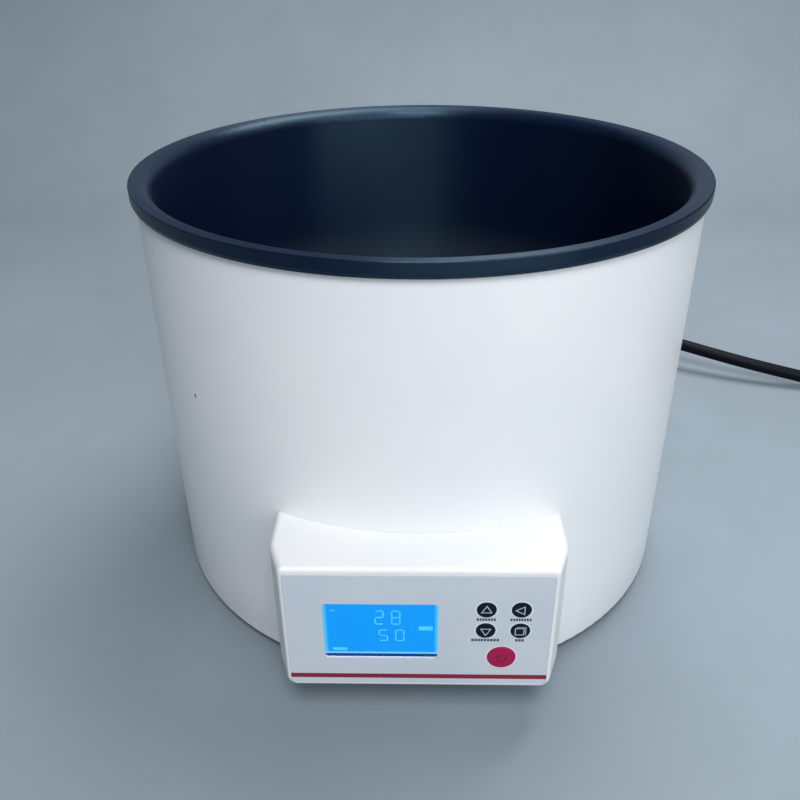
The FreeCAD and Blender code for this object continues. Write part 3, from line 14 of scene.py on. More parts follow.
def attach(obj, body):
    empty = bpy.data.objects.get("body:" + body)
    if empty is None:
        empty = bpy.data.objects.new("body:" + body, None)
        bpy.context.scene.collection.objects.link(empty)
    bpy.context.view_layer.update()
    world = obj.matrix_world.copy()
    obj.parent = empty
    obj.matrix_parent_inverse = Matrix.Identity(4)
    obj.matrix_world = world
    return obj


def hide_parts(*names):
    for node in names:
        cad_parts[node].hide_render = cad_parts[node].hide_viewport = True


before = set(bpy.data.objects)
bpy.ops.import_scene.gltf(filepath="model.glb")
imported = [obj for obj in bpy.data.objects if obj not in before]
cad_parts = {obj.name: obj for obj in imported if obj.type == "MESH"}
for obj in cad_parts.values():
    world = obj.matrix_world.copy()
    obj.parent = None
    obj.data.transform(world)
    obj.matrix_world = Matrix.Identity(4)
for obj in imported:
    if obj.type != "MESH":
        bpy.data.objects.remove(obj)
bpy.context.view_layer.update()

LOG = logging.getLogger("water_bath")
MM = 0.001
BATH = "bath"

Colour = tuple[float, float, float]


def shade(red: float, green: float, blue: float) -> Colour:
    """Turns a display colour into the linear one that a shader takes.

    Args:
        red: Red, 0 to 255.
        green: Green, 0 to 255.
        blue: Blue, 0 to 255.

    Returns:
        The linear colour.
    """
    def linear(value: float) -> float:
        """Turns one channel by the usual display curve."""
        share = value / 255.0
        return share / 12.92 if share <= 0.04045 else ((share + 0.055) / 1.055) ** 2.4

    return linear(red), linear(green), linear(blue)


@dataclass(frozen=True)
class Pattern:
    """A noise, and the range of its values that is stretched over another range."""

    scale: float
    detail: float = 3.0
    rough: float = 0.5
    low: float = 0.3
    high: float = 0.7
    to_low: float = 0.0
    to_high: float = 1.0


CLOUDING = Pattern(18.0, 4.0, 0.6, 0.35, 0.68)
GRAIN = Pattern(900.0, rough=0.55)
RAGGED = Pattern(1800.0, 2.0)
RAGGED_DEPTH = 0.9
RAGGED_REACH = 1.4
MIX_FIRST, MIX_SECOND, MIX_RESULT = 6, 7, 2
TRIANGLE, SQUARE, HEXAGON = 3, 4, 6
QUARTER_TURN, FULL_TURN = 90.0, 360.0
SAME_PLACE = 1e-8
FLATNESS = 1e-9
PLACE_DIGITS = 6


class Recipe:
    """Adds the nodes of one material and links them."""

    def __init__(self, name: str) -> None:
        """Starts a material with a plain surface shader.

        Args:
            name: The material's name.
        """
        self.material = bpy.data.materials.new(name)
        self.material.use_nodes = True
        self.tree = self.material.node_tree
        self.tree.nodes.clear()
        self.output = self.node("ShaderNodeOutputMaterial")
        self.shader = self.node("ShaderNodeBsdfPrincipled")
        self.join(self.shader.outputs[0], self.output.inputs[0])
        self.place = self.node("ShaderNodeTexCoord").outputs["Object"]

    def node(self, kind: str, **settings: object) -> bpy.types.Node:
        """Adds a node.

        Args:
            kind: The node's type.
            settings: Its properties.

        Returns:
            The node.
        """
        made = self.tree.nodes.new(kind)
        for name, value in settings.items():
            setattr(made, name, value)
        return made

    def join(self, source: bpy.types.NodeSocket, target: bpy.types.NodeSocket) -> None:
        """Links an output to an input."""
        self.tree.links.new(source, target)

    def feed(self, target: bpy.types.NodeSocket, value: object) -> None:
        """Gives an input a link or a plain value.

        Args:
            target: The input.
            value: An output socket, a number or a colour.
        """
        if isinstance(value, bpy.types.NodeSocket):
            self.join(value, target)
        elif isinstance(value, tuple) and len(value) == 3 and len(target.default_value) == 4:
            target.default_value = (*value, 1.0)
        else:
            target.default_value = value

    def set(self, name: str, value: object) -> None:
        """Sets or links one of the surface shader's inputs by name."""
        self.feed(self.shader.inputs[name], value)

    def stretched(self, scale: tuple[float, float, float]) -> bpy.types.NodeSocket:
        """Gives the object's coordinates, scaled along each axis.

        Args:
            scale: The factor along X, Y and Z.

        Returns:
            The scaled coordinates.
        """
        mapping = self.node("ShaderNodeMapping")
        self.join(self.place, mapping.inputs["Vector"])
        mapping.inputs["Scale"].default_value = scale
        return mapping.outputs["Vector"]

    def noise(self, pattern: Pattern, place: bpy.types.NodeSocket | None = None) -> bpy.types.NodeSocket:
        """Adds a noise.

        Args:
            pattern: Its features per metre, and the number and strength of its finer layers.
            place: Coordinates, or the object's own.

        Returns:
            The noise's value.
        """
        made = self.node("ShaderNodeTexNoise")
        self.join(place or self.place, made.inputs["Vector"])
        made.inputs["Scale"].default_value = pattern.scale
        made.inputs["Detail"].default_value = pattern.detail
        made.inputs["Roughness"].default_value = pattern.rough
        return made.outputs["Fac"]

    def span(self, value: object, low: float, high: float, to_low: float = 0.0,
             to_high: float = 1.0) -> bpy.types.NodeSocket:
        """Maps a range onto another, with its ends held.

        Args:
            value: The value.
            low: The range's start.
            high: The range's end.
            to_low: What the start becomes.
            to_high: What the end becomes.

        Returns:
            The mapped value.
        """
        made = self.node("ShaderNodeMapRange", interpolation_type="SMOOTHSTEP")
        self.feed(made.inputs["Value"], value)
        for name, number in (("From Min", low), ("From Max", high), ("To Min", to_low), ("To Max", to_high)):
            made.inputs[name].default_value = number
        return made.outputs["Result"]

    def patches(self, pattern: Pattern) -> bpy.types.NodeSocket:
        """Gives a noise, with its range stretched as its pattern says."""
        return self.span(self.noise(pattern), pattern.low, pattern.high, pattern.to_low, pattern.to_high)

    def sum(self, operation: str, first: object, second: object = 0.0) -> bpy.types.NodeSocket:
        """Works out a value from one or two others.

        Args:
            operation: The operation's name.
            first: The first value.
            second: The second value.

        Returns:
            The result.
        """
        made = self.node("ShaderNodeMath", operation=operation)
        self.feed(made.inputs[0], first)
        self.feed(made.inputs[1], second)
        return made.outputs[0]

    def band(self, value: object, low: float, high: float, soft: float) -> bpy.types.NodeSocket:
        """Gives 1 between two values and 0 outside them.

        Args:
            value: The value.
            low: The band's start.
            high: The band's end.
            soft: The width over which it fades.

        Returns:
            The band.
        """
        rise = self.span(value, low - soft, low + soft)
        fall = self.span(value, high - soft, high + soft, 1.0, 0.0)
        return self.sum("MULTIPLY", rise, fall)

    def mix(self, share: object, first: object, second: object) -> bpy.types.NodeSocket:
        """Mixes two colours.

        Args:
            share: How much of the second one.
            first: The first colour.
            second: The second colour.

        Returns:
            The mixed colour.
        """
        made = self.node("ShaderNodeMix", data_type="RGBA")
        self.feed(made.inputs["Factor"], share)
        self.feed(made.inputs[MIX_FIRST], first)
        self.feed(made.inputs[MIX_SECOND], second)
        return made.outputs[MIX_RESULT]

    def axes(self) -> bpy.types.NodeOutputs:
        """Gives the object's X, Y and Z as separate values."""
        made = self.node("ShaderNodeSeparateXYZ")
        self.join(self.place, made.inputs[0])
        return made.outputs

    def spot(self, centre: tuple[float, float, float], radius: float, soft: float) -> bpy.types.NodeSocket:
        """Gives 1 within a ragged spot round a point.

        Args:
            centre: The point, in metres.
            radius: The spot's radius, in metres.
            soft: The width over which it fades, in metres.

        Returns:
            The spot.
        """
        gap = self.node("ShaderNodeVectorMath", operation="DISTANCE")
        self.join(self.place, gap.inputs[0])
        gap.inputs[1].default_value = centre
        ragged = self.sum("MULTIPLY", self.noise(RAGGED), radius * RAGGED_DEPTH)
        reach = self.sum("ADD", gap.outputs["Value"], ragged)
        edge = radius * RAGGED_REACH
        return self.span(reach, edge - soft, edge + soft, 1.0, 0.0)

    def bump(self, height: object, depth: float) -> None:
        """Gives the surface a relief.

        Args:
            height: The relief, 0 to 1.
            depth: How deep the relief is, in metres.
        """
        made = self.node("ShaderNodeBump")
        made.inputs["Distance"].default_value = depth
        self.feed(made.inputs["Height"], height)
        self.join(made.outputs[0], self.shader.inputs["Normal"])


@dataclass(frozen=True)
class Finish:
    """A surface with slight clouding of its colour and gloss, and a fine relief."""

    name: str
    colour: Colour
    clouded: Colour
    roughness: float
    swing: float = 0.06
    grain: float = GRAIN.scale
    relief: float = 0.00002
    cloud: float = CLOUDING.scale
    metallic: float = 0.0
    specular: float = 0.5
    stretch: tuple[float, float, float] = (1.0, 1.0, 1.0)

    def recipe(self) -> Recipe:
        """Builds the nodes that every finish shares.

        Returns:
            The recipe, for a finish to add to.
        """
        made = Recipe(self.name)
        cloud = made.patches(replace(CLOUDING, scale=self.cloud))
        made.set("Base Color", made.mix(cloud, self.colour, self.clouded))
        fine = made.noise(replace(GRAIN, scale=self.grain), made.stretched(self.stretch))
        glossy, dull = self.roughness - self.swing, self.roughness + self.swing
        made.set("Roughness", made.span(fine, GRAIN.low, GRAIN.high, glossy, dull))
        made.set("Metallic", self.metallic)
        made.set("Specular IOR Level", self.specular)
        made.bump(fine, self.relief)
        return made

    def build(self) -> bpy.types.Material:
        """Gives the finished material."""
        return self.recipe().material


@dataclass(frozen=True)
class DrumPaint(Finish):
    """Satin white stoving paint, with a chip through to the primer and a little bench dust low down."""

    chip: tuple[float, float, float] = (-0.0997, -0.0922, 0.133)
    chip_radius: float = 0.0009
    chip_soft: float = 0.0002
    chip_colour: Colour = shade(70, 62, 66)
    dust_colour: Colour = shade(196, 202, 208)
    dust_low: float = 0.004
    dust_high: float = 0.04
    dust_share: float = 0.5
    dust_patches: Pattern = Pattern(26.0, 4.0, 0.6, high=0.75)
    coat: float = 0.25
    coat_roughness: float = 0.22

    def recipe(self) -> Recipe:
        """Adds the chip and the dust to the shared nodes.

        Returns:
            The recipe.
        """
        made = super().recipe()
        paint = made.shader.inputs["Base Color"].links[0].from_socket
        low = made.span(made.axes()["Z"], self.dust_low, self.dust_high, self.dust_share, 0.0)
        patchy = made.patches(self.dust_patches)
        dusty = made.mix(made.sum("MULTIPLY", low, patchy), paint, self.dust_colour)
        chip = made.spot(self.chip, self.chip_radius, self.chip_soft)
        made.set("Base Color", made.mix(chip, dusty, self.chip_colour))
        made.set("Coat Weight", self.coat)
        made.set("Coat Roughness", self.coat_roughness)
        return made


@dataclass(frozen=True)
class PanCoating(Finish):
    """Dark non-stick coating over fine turning marks, with a painted glow low on the wall, and dull on the
    floor.
    """

    sheen: Colour = (0.42, 0.78, 1.0)
    spun: float = 0.88
    spun_turn: float = 0.25
    floor_top: float = 0.076
    floor_dull: float = 0.3
    wall_low: float = 0.105
    # painted reflection: a paler colour low on the wall that stands in for reflected light
    painted_glow_colour: Colour = shade(84, 94, 106)
    painted_glow_low: float = 0.104
    painted_glow_high: float = 0.114
    painted_glow_soft: float = 0.032
    painted_glow_clouds: Pattern = Pattern(14.0, to_low=0.6, to_high=0.95)
    line_colour: Colour = shade(50, 66, 82)
    line_height: float = 0.118
    line_width: float = 0.0015
    line_soft: float = 0.006
    line_sway: float = 0.006
    line_waves: Pattern = Pattern(22.0)
    line_breaks: Pattern = Pattern(46.0, 6.0, 0.7, 0.46, 0.8, to_high=0.2)

    def recipe(self) -> Recipe:
        """Adds a broken limescale line, a painted glow low on the wall that stands in for reflected light,
        the dull floor and the turning marks' sheen.

        Returns:
            The recipe.
        """
        made = super().recipe()
        coat = made.shader.inputs["Base Color"].links[0].from_socket
        height = made.axes()["Z"]
        sway = made.sum("MULTIPLY", made.noise(self.line_waves), self.line_sway)
        wavy = made.sum("ADD", height, sway)
        line = made.band(wavy, self.line_height, self.line_height + self.line_width, self.line_soft)
        broken = made.sum("MULTIPLY", line, made.patches(self.line_breaks))
        # painted reflection: a paler, clouded band low on the wall stands in for reflected light
        painted_glow = made.band(height, self.painted_glow_low, self.painted_glow_high, self.painted_glow_soft)
        clouded = made.sum("MULTIPLY", painted_glow, made.patches(self.painted_glow_clouds))
        glow_painted_coat = made.mix(clouded, coat, self.painted_glow_colour)
        made.set("Base Color", made.mix(broken, glow_painted_coat, self.line_colour))
        gloss = made.shader.inputs["Roughness"].links[0].from_socket
        dull = made.span(height, self.floor_top, self.wall_low, self.floor_dull, 0.0)
        made.set("Roughness", made.sum("ADD", gloss, dull))
        made.set("Specular Tint", self.sheen)
        made.set("Anisotropic", self.spun)
        made.set("Anisotropic Rotation", self.spun_turn)
        round_axis = made.node("ShaderNodeTangent", direction_type="RADIAL", axis="Z")
        made.set("Tangent", round_axis.outputs["Tangent"])
        return made


@dataclass(frozen=True)
class FilmPrint(Finish):
    """The pale printed film, with its coloured stripe."""

    stripe_colour: Colour = shade(140, 24, 58)
    stripe_clouded: Colour = shade(128, 20, 52)
    stripe_low: float = 0.0290
    stripe_high: float = 0.0316
    stripe_soft: float = 0.00008
    ink: Pattern = Pattern(700.0, 2.0)

    def recipe(self) -> Recipe:
        """Adds the stripe to the shared nodes.

        Returns:
            The recipe.
        """
        made = super().recipe()
        ground = made.shader.inputs["Base Color"].links[0].from_socket
        stripe = made.band(made.axes()["Z"], self.stripe_low, self.stripe_high, self.stripe_soft)
        inked = made.mix(made.noise(self.ink), self.stripe_colour, self.stripe_clouded)
        made.set("Base Color", made.mix(stripe, ground, inked))
        return made


@dataclass(frozen=True)
class DisplayGlow(Finish):
    """The lit display: blue, with painted highlights at its two sides and along its lower edge where its
    window's ledges catch the light, and a painted shadow of the recess at its very bottom.
    """

    centre_x: float = -0.0159
    half_width: float = 0.0241
    low_edge: float = 0.0410
    glow: float = 0.98
    blue: Colour = shade(0, 160, 255)
    # painted highlights: paler blues where the window's side and lower ledges catch the light
    side_ledge_highlight: Colour = shade(70, 204, 255)
    side_highlight_start: float = 0.0017
    side_highlight_full: float = 0.0003
    low_ledge_highlight: Colour = shade(150, 215, 255)
    low_highlight_start: float = 0.0007
    low_highlight_end: float = 0.0014
    low_highlight_soft: float = 0.0003
    # painted shadow: a dark blue at the very bottom, where the recess is in shade
    recess_shadow_blue: Colour = shade(6, 60, 120)
    recess_shadow_full: float = 0.0002
    recess_shadow_end: float = 0.0006
    dots: Pattern = Pattern(1500.0, 1.0, to_low=0.94)

    def recipe(self) -> Recipe:
        """Adds the glow, with the painted ledge highlights and recess shadow, to the shared nodes.

        Returns:
            The recipe.
        """
        made = super().recipe()
        axes = made.axes()
        aside = made.sum("ABSOLUTE", made.sum("SUBTRACT", axes["X"], self.centre_x))
        # painted highlight of the side ledges
        sides = made.span(aside, self.half_width - self.side_highlight_start, self.half_width - self.side_highlight_full)
        above = made.sum("SUBTRACT", axes["Z"], self.low_edge)
        # painted highlight of the lower ledge
        pale = made.band(above, self.low_highlight_start, self.low_highlight_end, self.low_highlight_soft)
        # painted shadow of the recess below the lower ledge
        recess_shadow = made.span(above, self.recess_shadow_full, self.recess_shadow_end, 1.0, 0.0)
        lit = made.mix(pale, made.mix(sides, self.blue, self.side_ledge_highlight), self.low_ledge_highlight)
        made.set("Emission Color", made.mix(recess_shadow, lit, self.recess_shadow_blue))
        made.set("Emission Strength", made.sum("MULTIPLY", made.patches(self.dots), self.glow))
        return made


@dataclass(frozen=True)
class ClearSheet(Finish):
    """Clear acrylic with a few fine rubbing marks."""

    bending: float = 1.2

    def recipe(self) -> Recipe:
        """Makes the sheet see-through.

        Returns:
            The recipe.
        """
        made = super().recipe()
        made.set("Transmission Weight", 1.0)
        made.set("IOR", self.bending)
        return made


@dataclass(frozen=True)
class LitMark(Finish):
    """A pale mark on the lit display."""

    glow: float = 0.85
    dots: Pattern = Pattern(900.0, 2.0)

    def recipe(self) -> Recipe:
        """Adds the light to the shared nodes.

        Returns:
            The recipe.
        """
        made = super().recipe()
        made.set("Emission Color", made.mix(made.noise(self.dots), self.colour, self.clouded))
        made.set("Emission Strength", self.glow)
        return made


@dataclass(frozen=True)
class Ink(Finish):
    """Thin screen print."""

    roughness: float = 0.5
    swing: float = 0.05
    grain: float = 1500.0
    relief: float = 0.000004


class Surface(Enum):
    """The finishes of this bath's pieces."""

    DRUM = DrumPaint("drum_paint", shade(238, 241, 244), shade(234, 238, 242), roughness=0.42, swing=0.05,
                     grain=700.0, relief=0.000015, cloud=9.0)
    PAN = PanCoating("pan_coating", shade(2, 12, 38), shade(3, 14, 42), roughness=0.38, swing=0.03,
                     grain=1400.0, relief=0.000004, cloud=12.0, specular=0.55)
    BOX = Finish("box_plastic", shade(236, 238, 241), shade(231, 235, 239), roughness=0.38, swing=0.05,
                 grain=1600.0, relief=0.00001, cloud=25.0)
    FILM = FilmPrint("front_film", shade(203, 211, 221), shade(198, 207, 218), roughness=0.5, swing=0.05,
                     grain=2600.0, relief=0.000008, cloud=30.0)
    LENS = ClearSheet("clear_lens", shade(250, 252, 255), shade(246, 250, 254), roughness=0.06, swing=0.03,
                      grain=120.0, relief=0.0, specular=0.15)
    DISPLAY = DisplayGlow("display_glow", shade(4, 20, 60), shade(6, 24, 66), roughness=0.35, specular=0.1)
    MARK = LitMark("display_marks", shade(76, 180, 250), shade(60, 172, 252), roughness=0.4, specular=0.1)
    NAVY = Finish("navy_key", shade(4, 18, 38), shade(7, 22, 44), roughness=0.42, swing=0.05,
                  grain=2600.0, relief=0.000008, specular=0.15)
    CRIMSON = Finish("crimson_key", shade(178, 16, 80), shade(168, 14, 74), roughness=0.42, swing=0.05,
                     grain=2600.0, relief=0.000008, specular=0.3)
    ICON = Ink("icon_print", shade(196, 208, 218), shade(184, 198, 210))
    HALO = Ink("halo_print", shade(228, 234, 240), shade(222, 229, 236))
    CAPTION = Ink("caption_print", shade(44, 56, 72), shade(56, 68, 84))
    SYMBOL = Ink("symbol_print", shade(72, 14, 36), shade(84, 18, 42))
    SILICONE = Finish("grey_silicone", shade(96, 98, 102), shade(84, 86, 90), roughness=0.7)
    ALUMINIUM = Finish("rolled_aluminium", shade(206, 208, 210), shade(188, 190, 194), roughness=0.34,
                       swing=0.1, grain=500.0, relief=0.00001, metallic=1.0, stretch=(0.05, 1.0, 1.0))
    ELEMENT = Finish("element_tube", shade(150, 132, 112), shade(96, 84, 92), roughness=0.4, swing=0.1,
                     grain=600.0, relief=0.00001, cloud=40.0, metallic=1.0)
    ZINC = Finish("zinc_plate", shade(176, 180, 184), shade(150, 156, 162), roughness=0.36, swing=0.12,
                  grain=300.0, relief=0.00001, cloud=60.0, metallic=1.0)
    CERAMIC = Finish("ceramic", shade(226, 220, 206), shade(208, 200, 184), roughness=0.6)
    HARD_BOARD = Finish("hard_board", shade(214, 210, 196), shade(190, 184, 168), roughness=0.9, swing=0.05,
                        grain=500.0, relief=0.0002)
    FELT = Finish("fibre_felt", shade(222, 214, 186), shade(200, 190, 158), roughness=0.95, swing=0.04,
                  grain=350.0, relief=0.0006, cloud=60.0)
    BRASS = Finish("brass", shade(200, 170, 104), shade(168, 136, 78), roughness=0.32, swing=0.1,
                   grain=500.0, relief=0.00001, cloud=60.0, metallic=1.0)
    RUBBER = Finish("black_rubber", shade(27, 29, 32), shade(36, 39, 43), roughness=0.62, swing=0.1,
                    relief=0.00004)
    CORD = Finish("cord_sheath", shade(3, 6, 16), shade(6, 10, 22), roughness=0.5, swing=0.08,
                  grain=700.0, relief=0.00004, cloud=30.0, specular=0.12)
    DARK = Finish("dark_plastic", shade(34, 36, 40), shade(44, 47, 52), roughness=0.5)
    BOARD = Finish("board_green", shade(24, 84, 50), shade(34, 104, 62), roughness=0.4, swing=0.08,
                   grain=300.0, cloud=200.0)
    PALE = Finish("pale_plastic", shade(206, 204, 192), shade(190, 188, 176), roughness=0.5)
    BLUE = Finish("blue_case", shade(36, 82, 150), shade(30, 70, 132), roughness=0.4)
    COPPER = Finish("winding", shade(172, 98, 58), shade(120, 66, 40), roughness=0.45, swing=0.1,
                    grain=1600.0, relief=0.0001, cloud=80.0, metallic=0.6)
    LEAD = Finish("lead_sheath", shade(150, 44, 34), shade(132, 36, 30), roughness=0.5)
    STRAP = Finish("strap_weave", shade(24, 25, 29), shade(40, 42, 48), roughness=0.9, swing=0.05,
                   grain=1800.0, relief=0.0002, cloud=90.0)


class Palette:
    """Builds each finish once and hands it out."""

    def __init__(self) -> None:
        """Starts with nothing built."""
        self.built: dict[Surface, bpy.types.Material] = {}

    def get(self, surface: Surface) -> bpy.types.Material:
        """Gives a finish's material, built when it is first asked for.

        Args:
            surface: The finish.

        Returns:
            Its material.
        """
        if surface not in self.built:
            self.built[surface] = surface.value.build()
        return self.built[surface]


@dataclass
class Assembly:
    """A group of pieces: how its solids are dressed and how its own pieces are added."""

    palette: Palette

    def dress(self, names: Sequence[str], surface: Surface) -> None:
        """Gives solids a finish.

        Args:
            names: The solids.
            surface: Their finish.
        """
        for name in names:
            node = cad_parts[name]
            node.data.materials.clear()
            node.data.materials.append(self.palette.get(surface))
            LOG.info("dressed %s as %s", name, surface.name.lower())

    def add(self, name: str, shape: bmesh.types.BMesh, surface: Surface, slot: str,
            body: str = BATH) -> bpy.types.Object:
        """Makes a mesh a piece of the bath.

        Args:
            name: The piece's name.
            shape: Its mesh, in metres.
            surface: Its finish.
            slot: The record's material slot; not used.
            body: The body that it moves with.

        Returns:
            The piece.
        """
        mesh = bpy.data.meshes.new(name)
        shape.to_mesh(mesh)
        shape.free()
        piece = bpy.data.objects.new(name, mesh)
        bpy.context.scene.collection.objects.link(piece)
        mesh.materials.append(self.palette.get(surface))
        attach(piece, body)
        LOG.info("built %s on %s", name, body)
        return piece


@dataclass
class FlatPrint:
    """Thin flat shapes that face the front, all at one depth. Places are in millimetres."""

    front: float
    thickness: float = 0.02
    least_steps: int = 6
    step_angle: float = 9.0
    unplaced_reach: float = 20.0
    shape: bmesh.types.BMesh = field(default_factory=bmesh.new)

    def _stand(self, faces: Sequence[bmesh.types.BMFace], x: float, z: float, turn: float = 0.0) -> None:
        """Turns flat faces to the front, puts them in place and gives them their thickness."""
        verts = list(dict.fromkeys(v for f in faces for v in f.verts))
        upright = Matrix.Rotation(math.pi / 2, 4, "X") @ Matrix.Rotation(turn, 4, "Z")
        place = Matrix.Translation((x * MM, (self.front + self.thickness) * MM, z * MM))
        bmesh.ops.transform(self.shape, matrix=place @ upright, verts=verts)
        grown = bmesh.ops.extrude_face_region(self.shape, geom=list(faces), use_keep_orig=True)
        moved = [v for v in grown["geom"] if isinstance(v, bmesh.types.BMVert)]
        bmesh.ops.translate(self.shape, vec=(0.0, -self.thickness * MM, 0.0), verts=moved)

    def _disc(self, sides: int, radius: float) -> list[bmesh.types.BMFace]:
        """Starts a flat regular shape at the origin, and gives its face."""
        made = bmesh.ops.create_circle(self.shape, cap_ends=True, segments=sides, radius=radius * MM)
        return list(dict.fromkeys(f for v in made["verts"] for f in v.link_faces))

    def bar(self, x: float, z: float, width: float, height: float) -> None:
        """Adds a plain bar.

        Args:
            x: Its middle, across.
            z: Its middle, up.
            width: Its width.
            height: Its height.
        """
        faces = self._disc(SQUARE, math.sqrt(0.5))
        verts = [v for f in faces for v in f.verts]
        bmesh.ops.rotate(self.shape, matrix=Matrix.Rotation(math.pi / 4, 3, "Z"), verts=verts)
        bmesh.ops.scale(self.shape, vec=(width, height, 1.0), verts=verts)
        self._stand(faces, x, z)

    def dash(self, x: float, z: float, length: float, width: float, upright: bool) -> None:
        """Adds a dash with pointed ends.

        Args:
            x: Its middle, across.
            z: Its middle, up.
            length: Its length.
            width: Its width.
            upright: Whether it stands.
        """
        faces = self._disc(HEXAGON, 1.0)
        verts = [v for f in faces for v in f.verts]
        bmesh.ops.rotate(self.shape, matrix=Matrix.Rotation(-math.pi / 2, 3, "Z"), verts=verts)
        half_long, half_wide = length / 2, width / 2
        points = sorted(verts, key=lambda v: abs(v.co.x))[-2:]
        for vert in verts:
            point = vert in points
            vert.co.x = math.copysign((half_long if point else half_long - half_wide) * MM, vert.co.x)
            vert.co.y = 0.0 if point else math.copysign(half_wide * MM, vert.co.y)
        self._stand(faces, x, z, math.pi / 2 if upright else 0.0)

    def outline(self, x: float, z: float, sides: int, radius: float, line: float, turn: float) -> None:
        """Adds the outline of a regular shape.

        Args:
            x: Its middle, across.
            z: Its middle, up.
            sides: How many sides it has.
            radius: The distance of its corners from its middle.
            line: The outline's width.
            turn: How far it is turned, in degrees.
        """
        faces = self._disc(sides, radius)
        inner = bmesh.ops.inset_region(self.shape, faces=faces, thickness=line * MM, use_boundary=True,
                                       use_even_offset=True)["faces"]
        bmesh.ops.delete(self.shape, geom=faces, context="FACES_ONLY")
        self._stand(inner, x, z, math.radians(turn))

    def arc(self, x: float, z: float, radius: float, line: float, first: float, sweep: float) -> None:
        """Adds part of a ring.

        Args:
            x: Its middle, across.
            z: Its middle, up.
            radius: The radius of its line.
            line: The line's width.
            first: Where it starts, in degrees from the right.
            sweep: How far it goes round, in degrees.
        """
        near = self.shape.verts.new(((radius - line / 2) * MM, 0.0, 0.0))
        far = self.shape.verts.new(((radius + line / 2) * MM, 0.0, 0.0))
        edge = self.shape.edges.new((near, far))
        steps = max(self.least_steps, int(sweep / self.step_angle))
        bmesh.ops.spin(self.shape, geom=[near, far, edge], axis=(0, 0, 1), cent=(0, 0, 0),
                       angle=math.radians(sweep), steps=steps, use_merge=sweep >= FULL_TURN)
        faces = [f for f in self.shape.faces
                 if all(abs(v.co.z) < FLATNESS and v.co.length < self.unplaced_reach * MM for v in f.verts)]
        bmesh.ops.recalc_face_normals(self.shape, faces=faces)
        self._stand(faces, x, z, math.radians(first))

    def closed(self) -> bmesh.types.BMesh:
        """Gives the mesh with its doubles merged, and its faces pointing outwards and in a set order."""
        bmesh.ops.remove_doubles(self.shape, verts=self.shape.verts, dist=SAME_PLACE)
        bmesh.ops.recalc_face_normals(self.shape, faces=self.shape.faces)
        ordered = sorted(self.shape.faces, key=lambda f: f.calc_center_median().to_tuple(PLACE_DIGITS))
        ranks = {face: rank for rank, face in enumerate(ordered)}
        self.shape.faces.sort(key=ranks.get)
        return self.shape


@dataclass(frozen=True)
class Lamp:
    """A square lamp, with its place and size in metres and its power in watts."""

    name: str
    place: tuple[float, float, float]
    size: float
    power: float

    def build(self, target: tuple[float, float, float]) -> None:
        """Makes the lamp.

        Args:
            target: The point that it is turned to.
        """
        data = bpy.data.lights.new(self.name, "AREA")
        data.shape = "SQUARE"
        data.size = self.size
        data.energy = self.power
        lamp = bpy.data.objects.new(self.name, data)
        lamp.location = self.place
        lamp.rotation_mode = "QUATERNION"
        lamp.rotation_quaternion = (Vector(target) - Vector(self.place)).to_track_quat("-Z", "Y")
        bpy.context.scene.collection.objects.link(lamp)


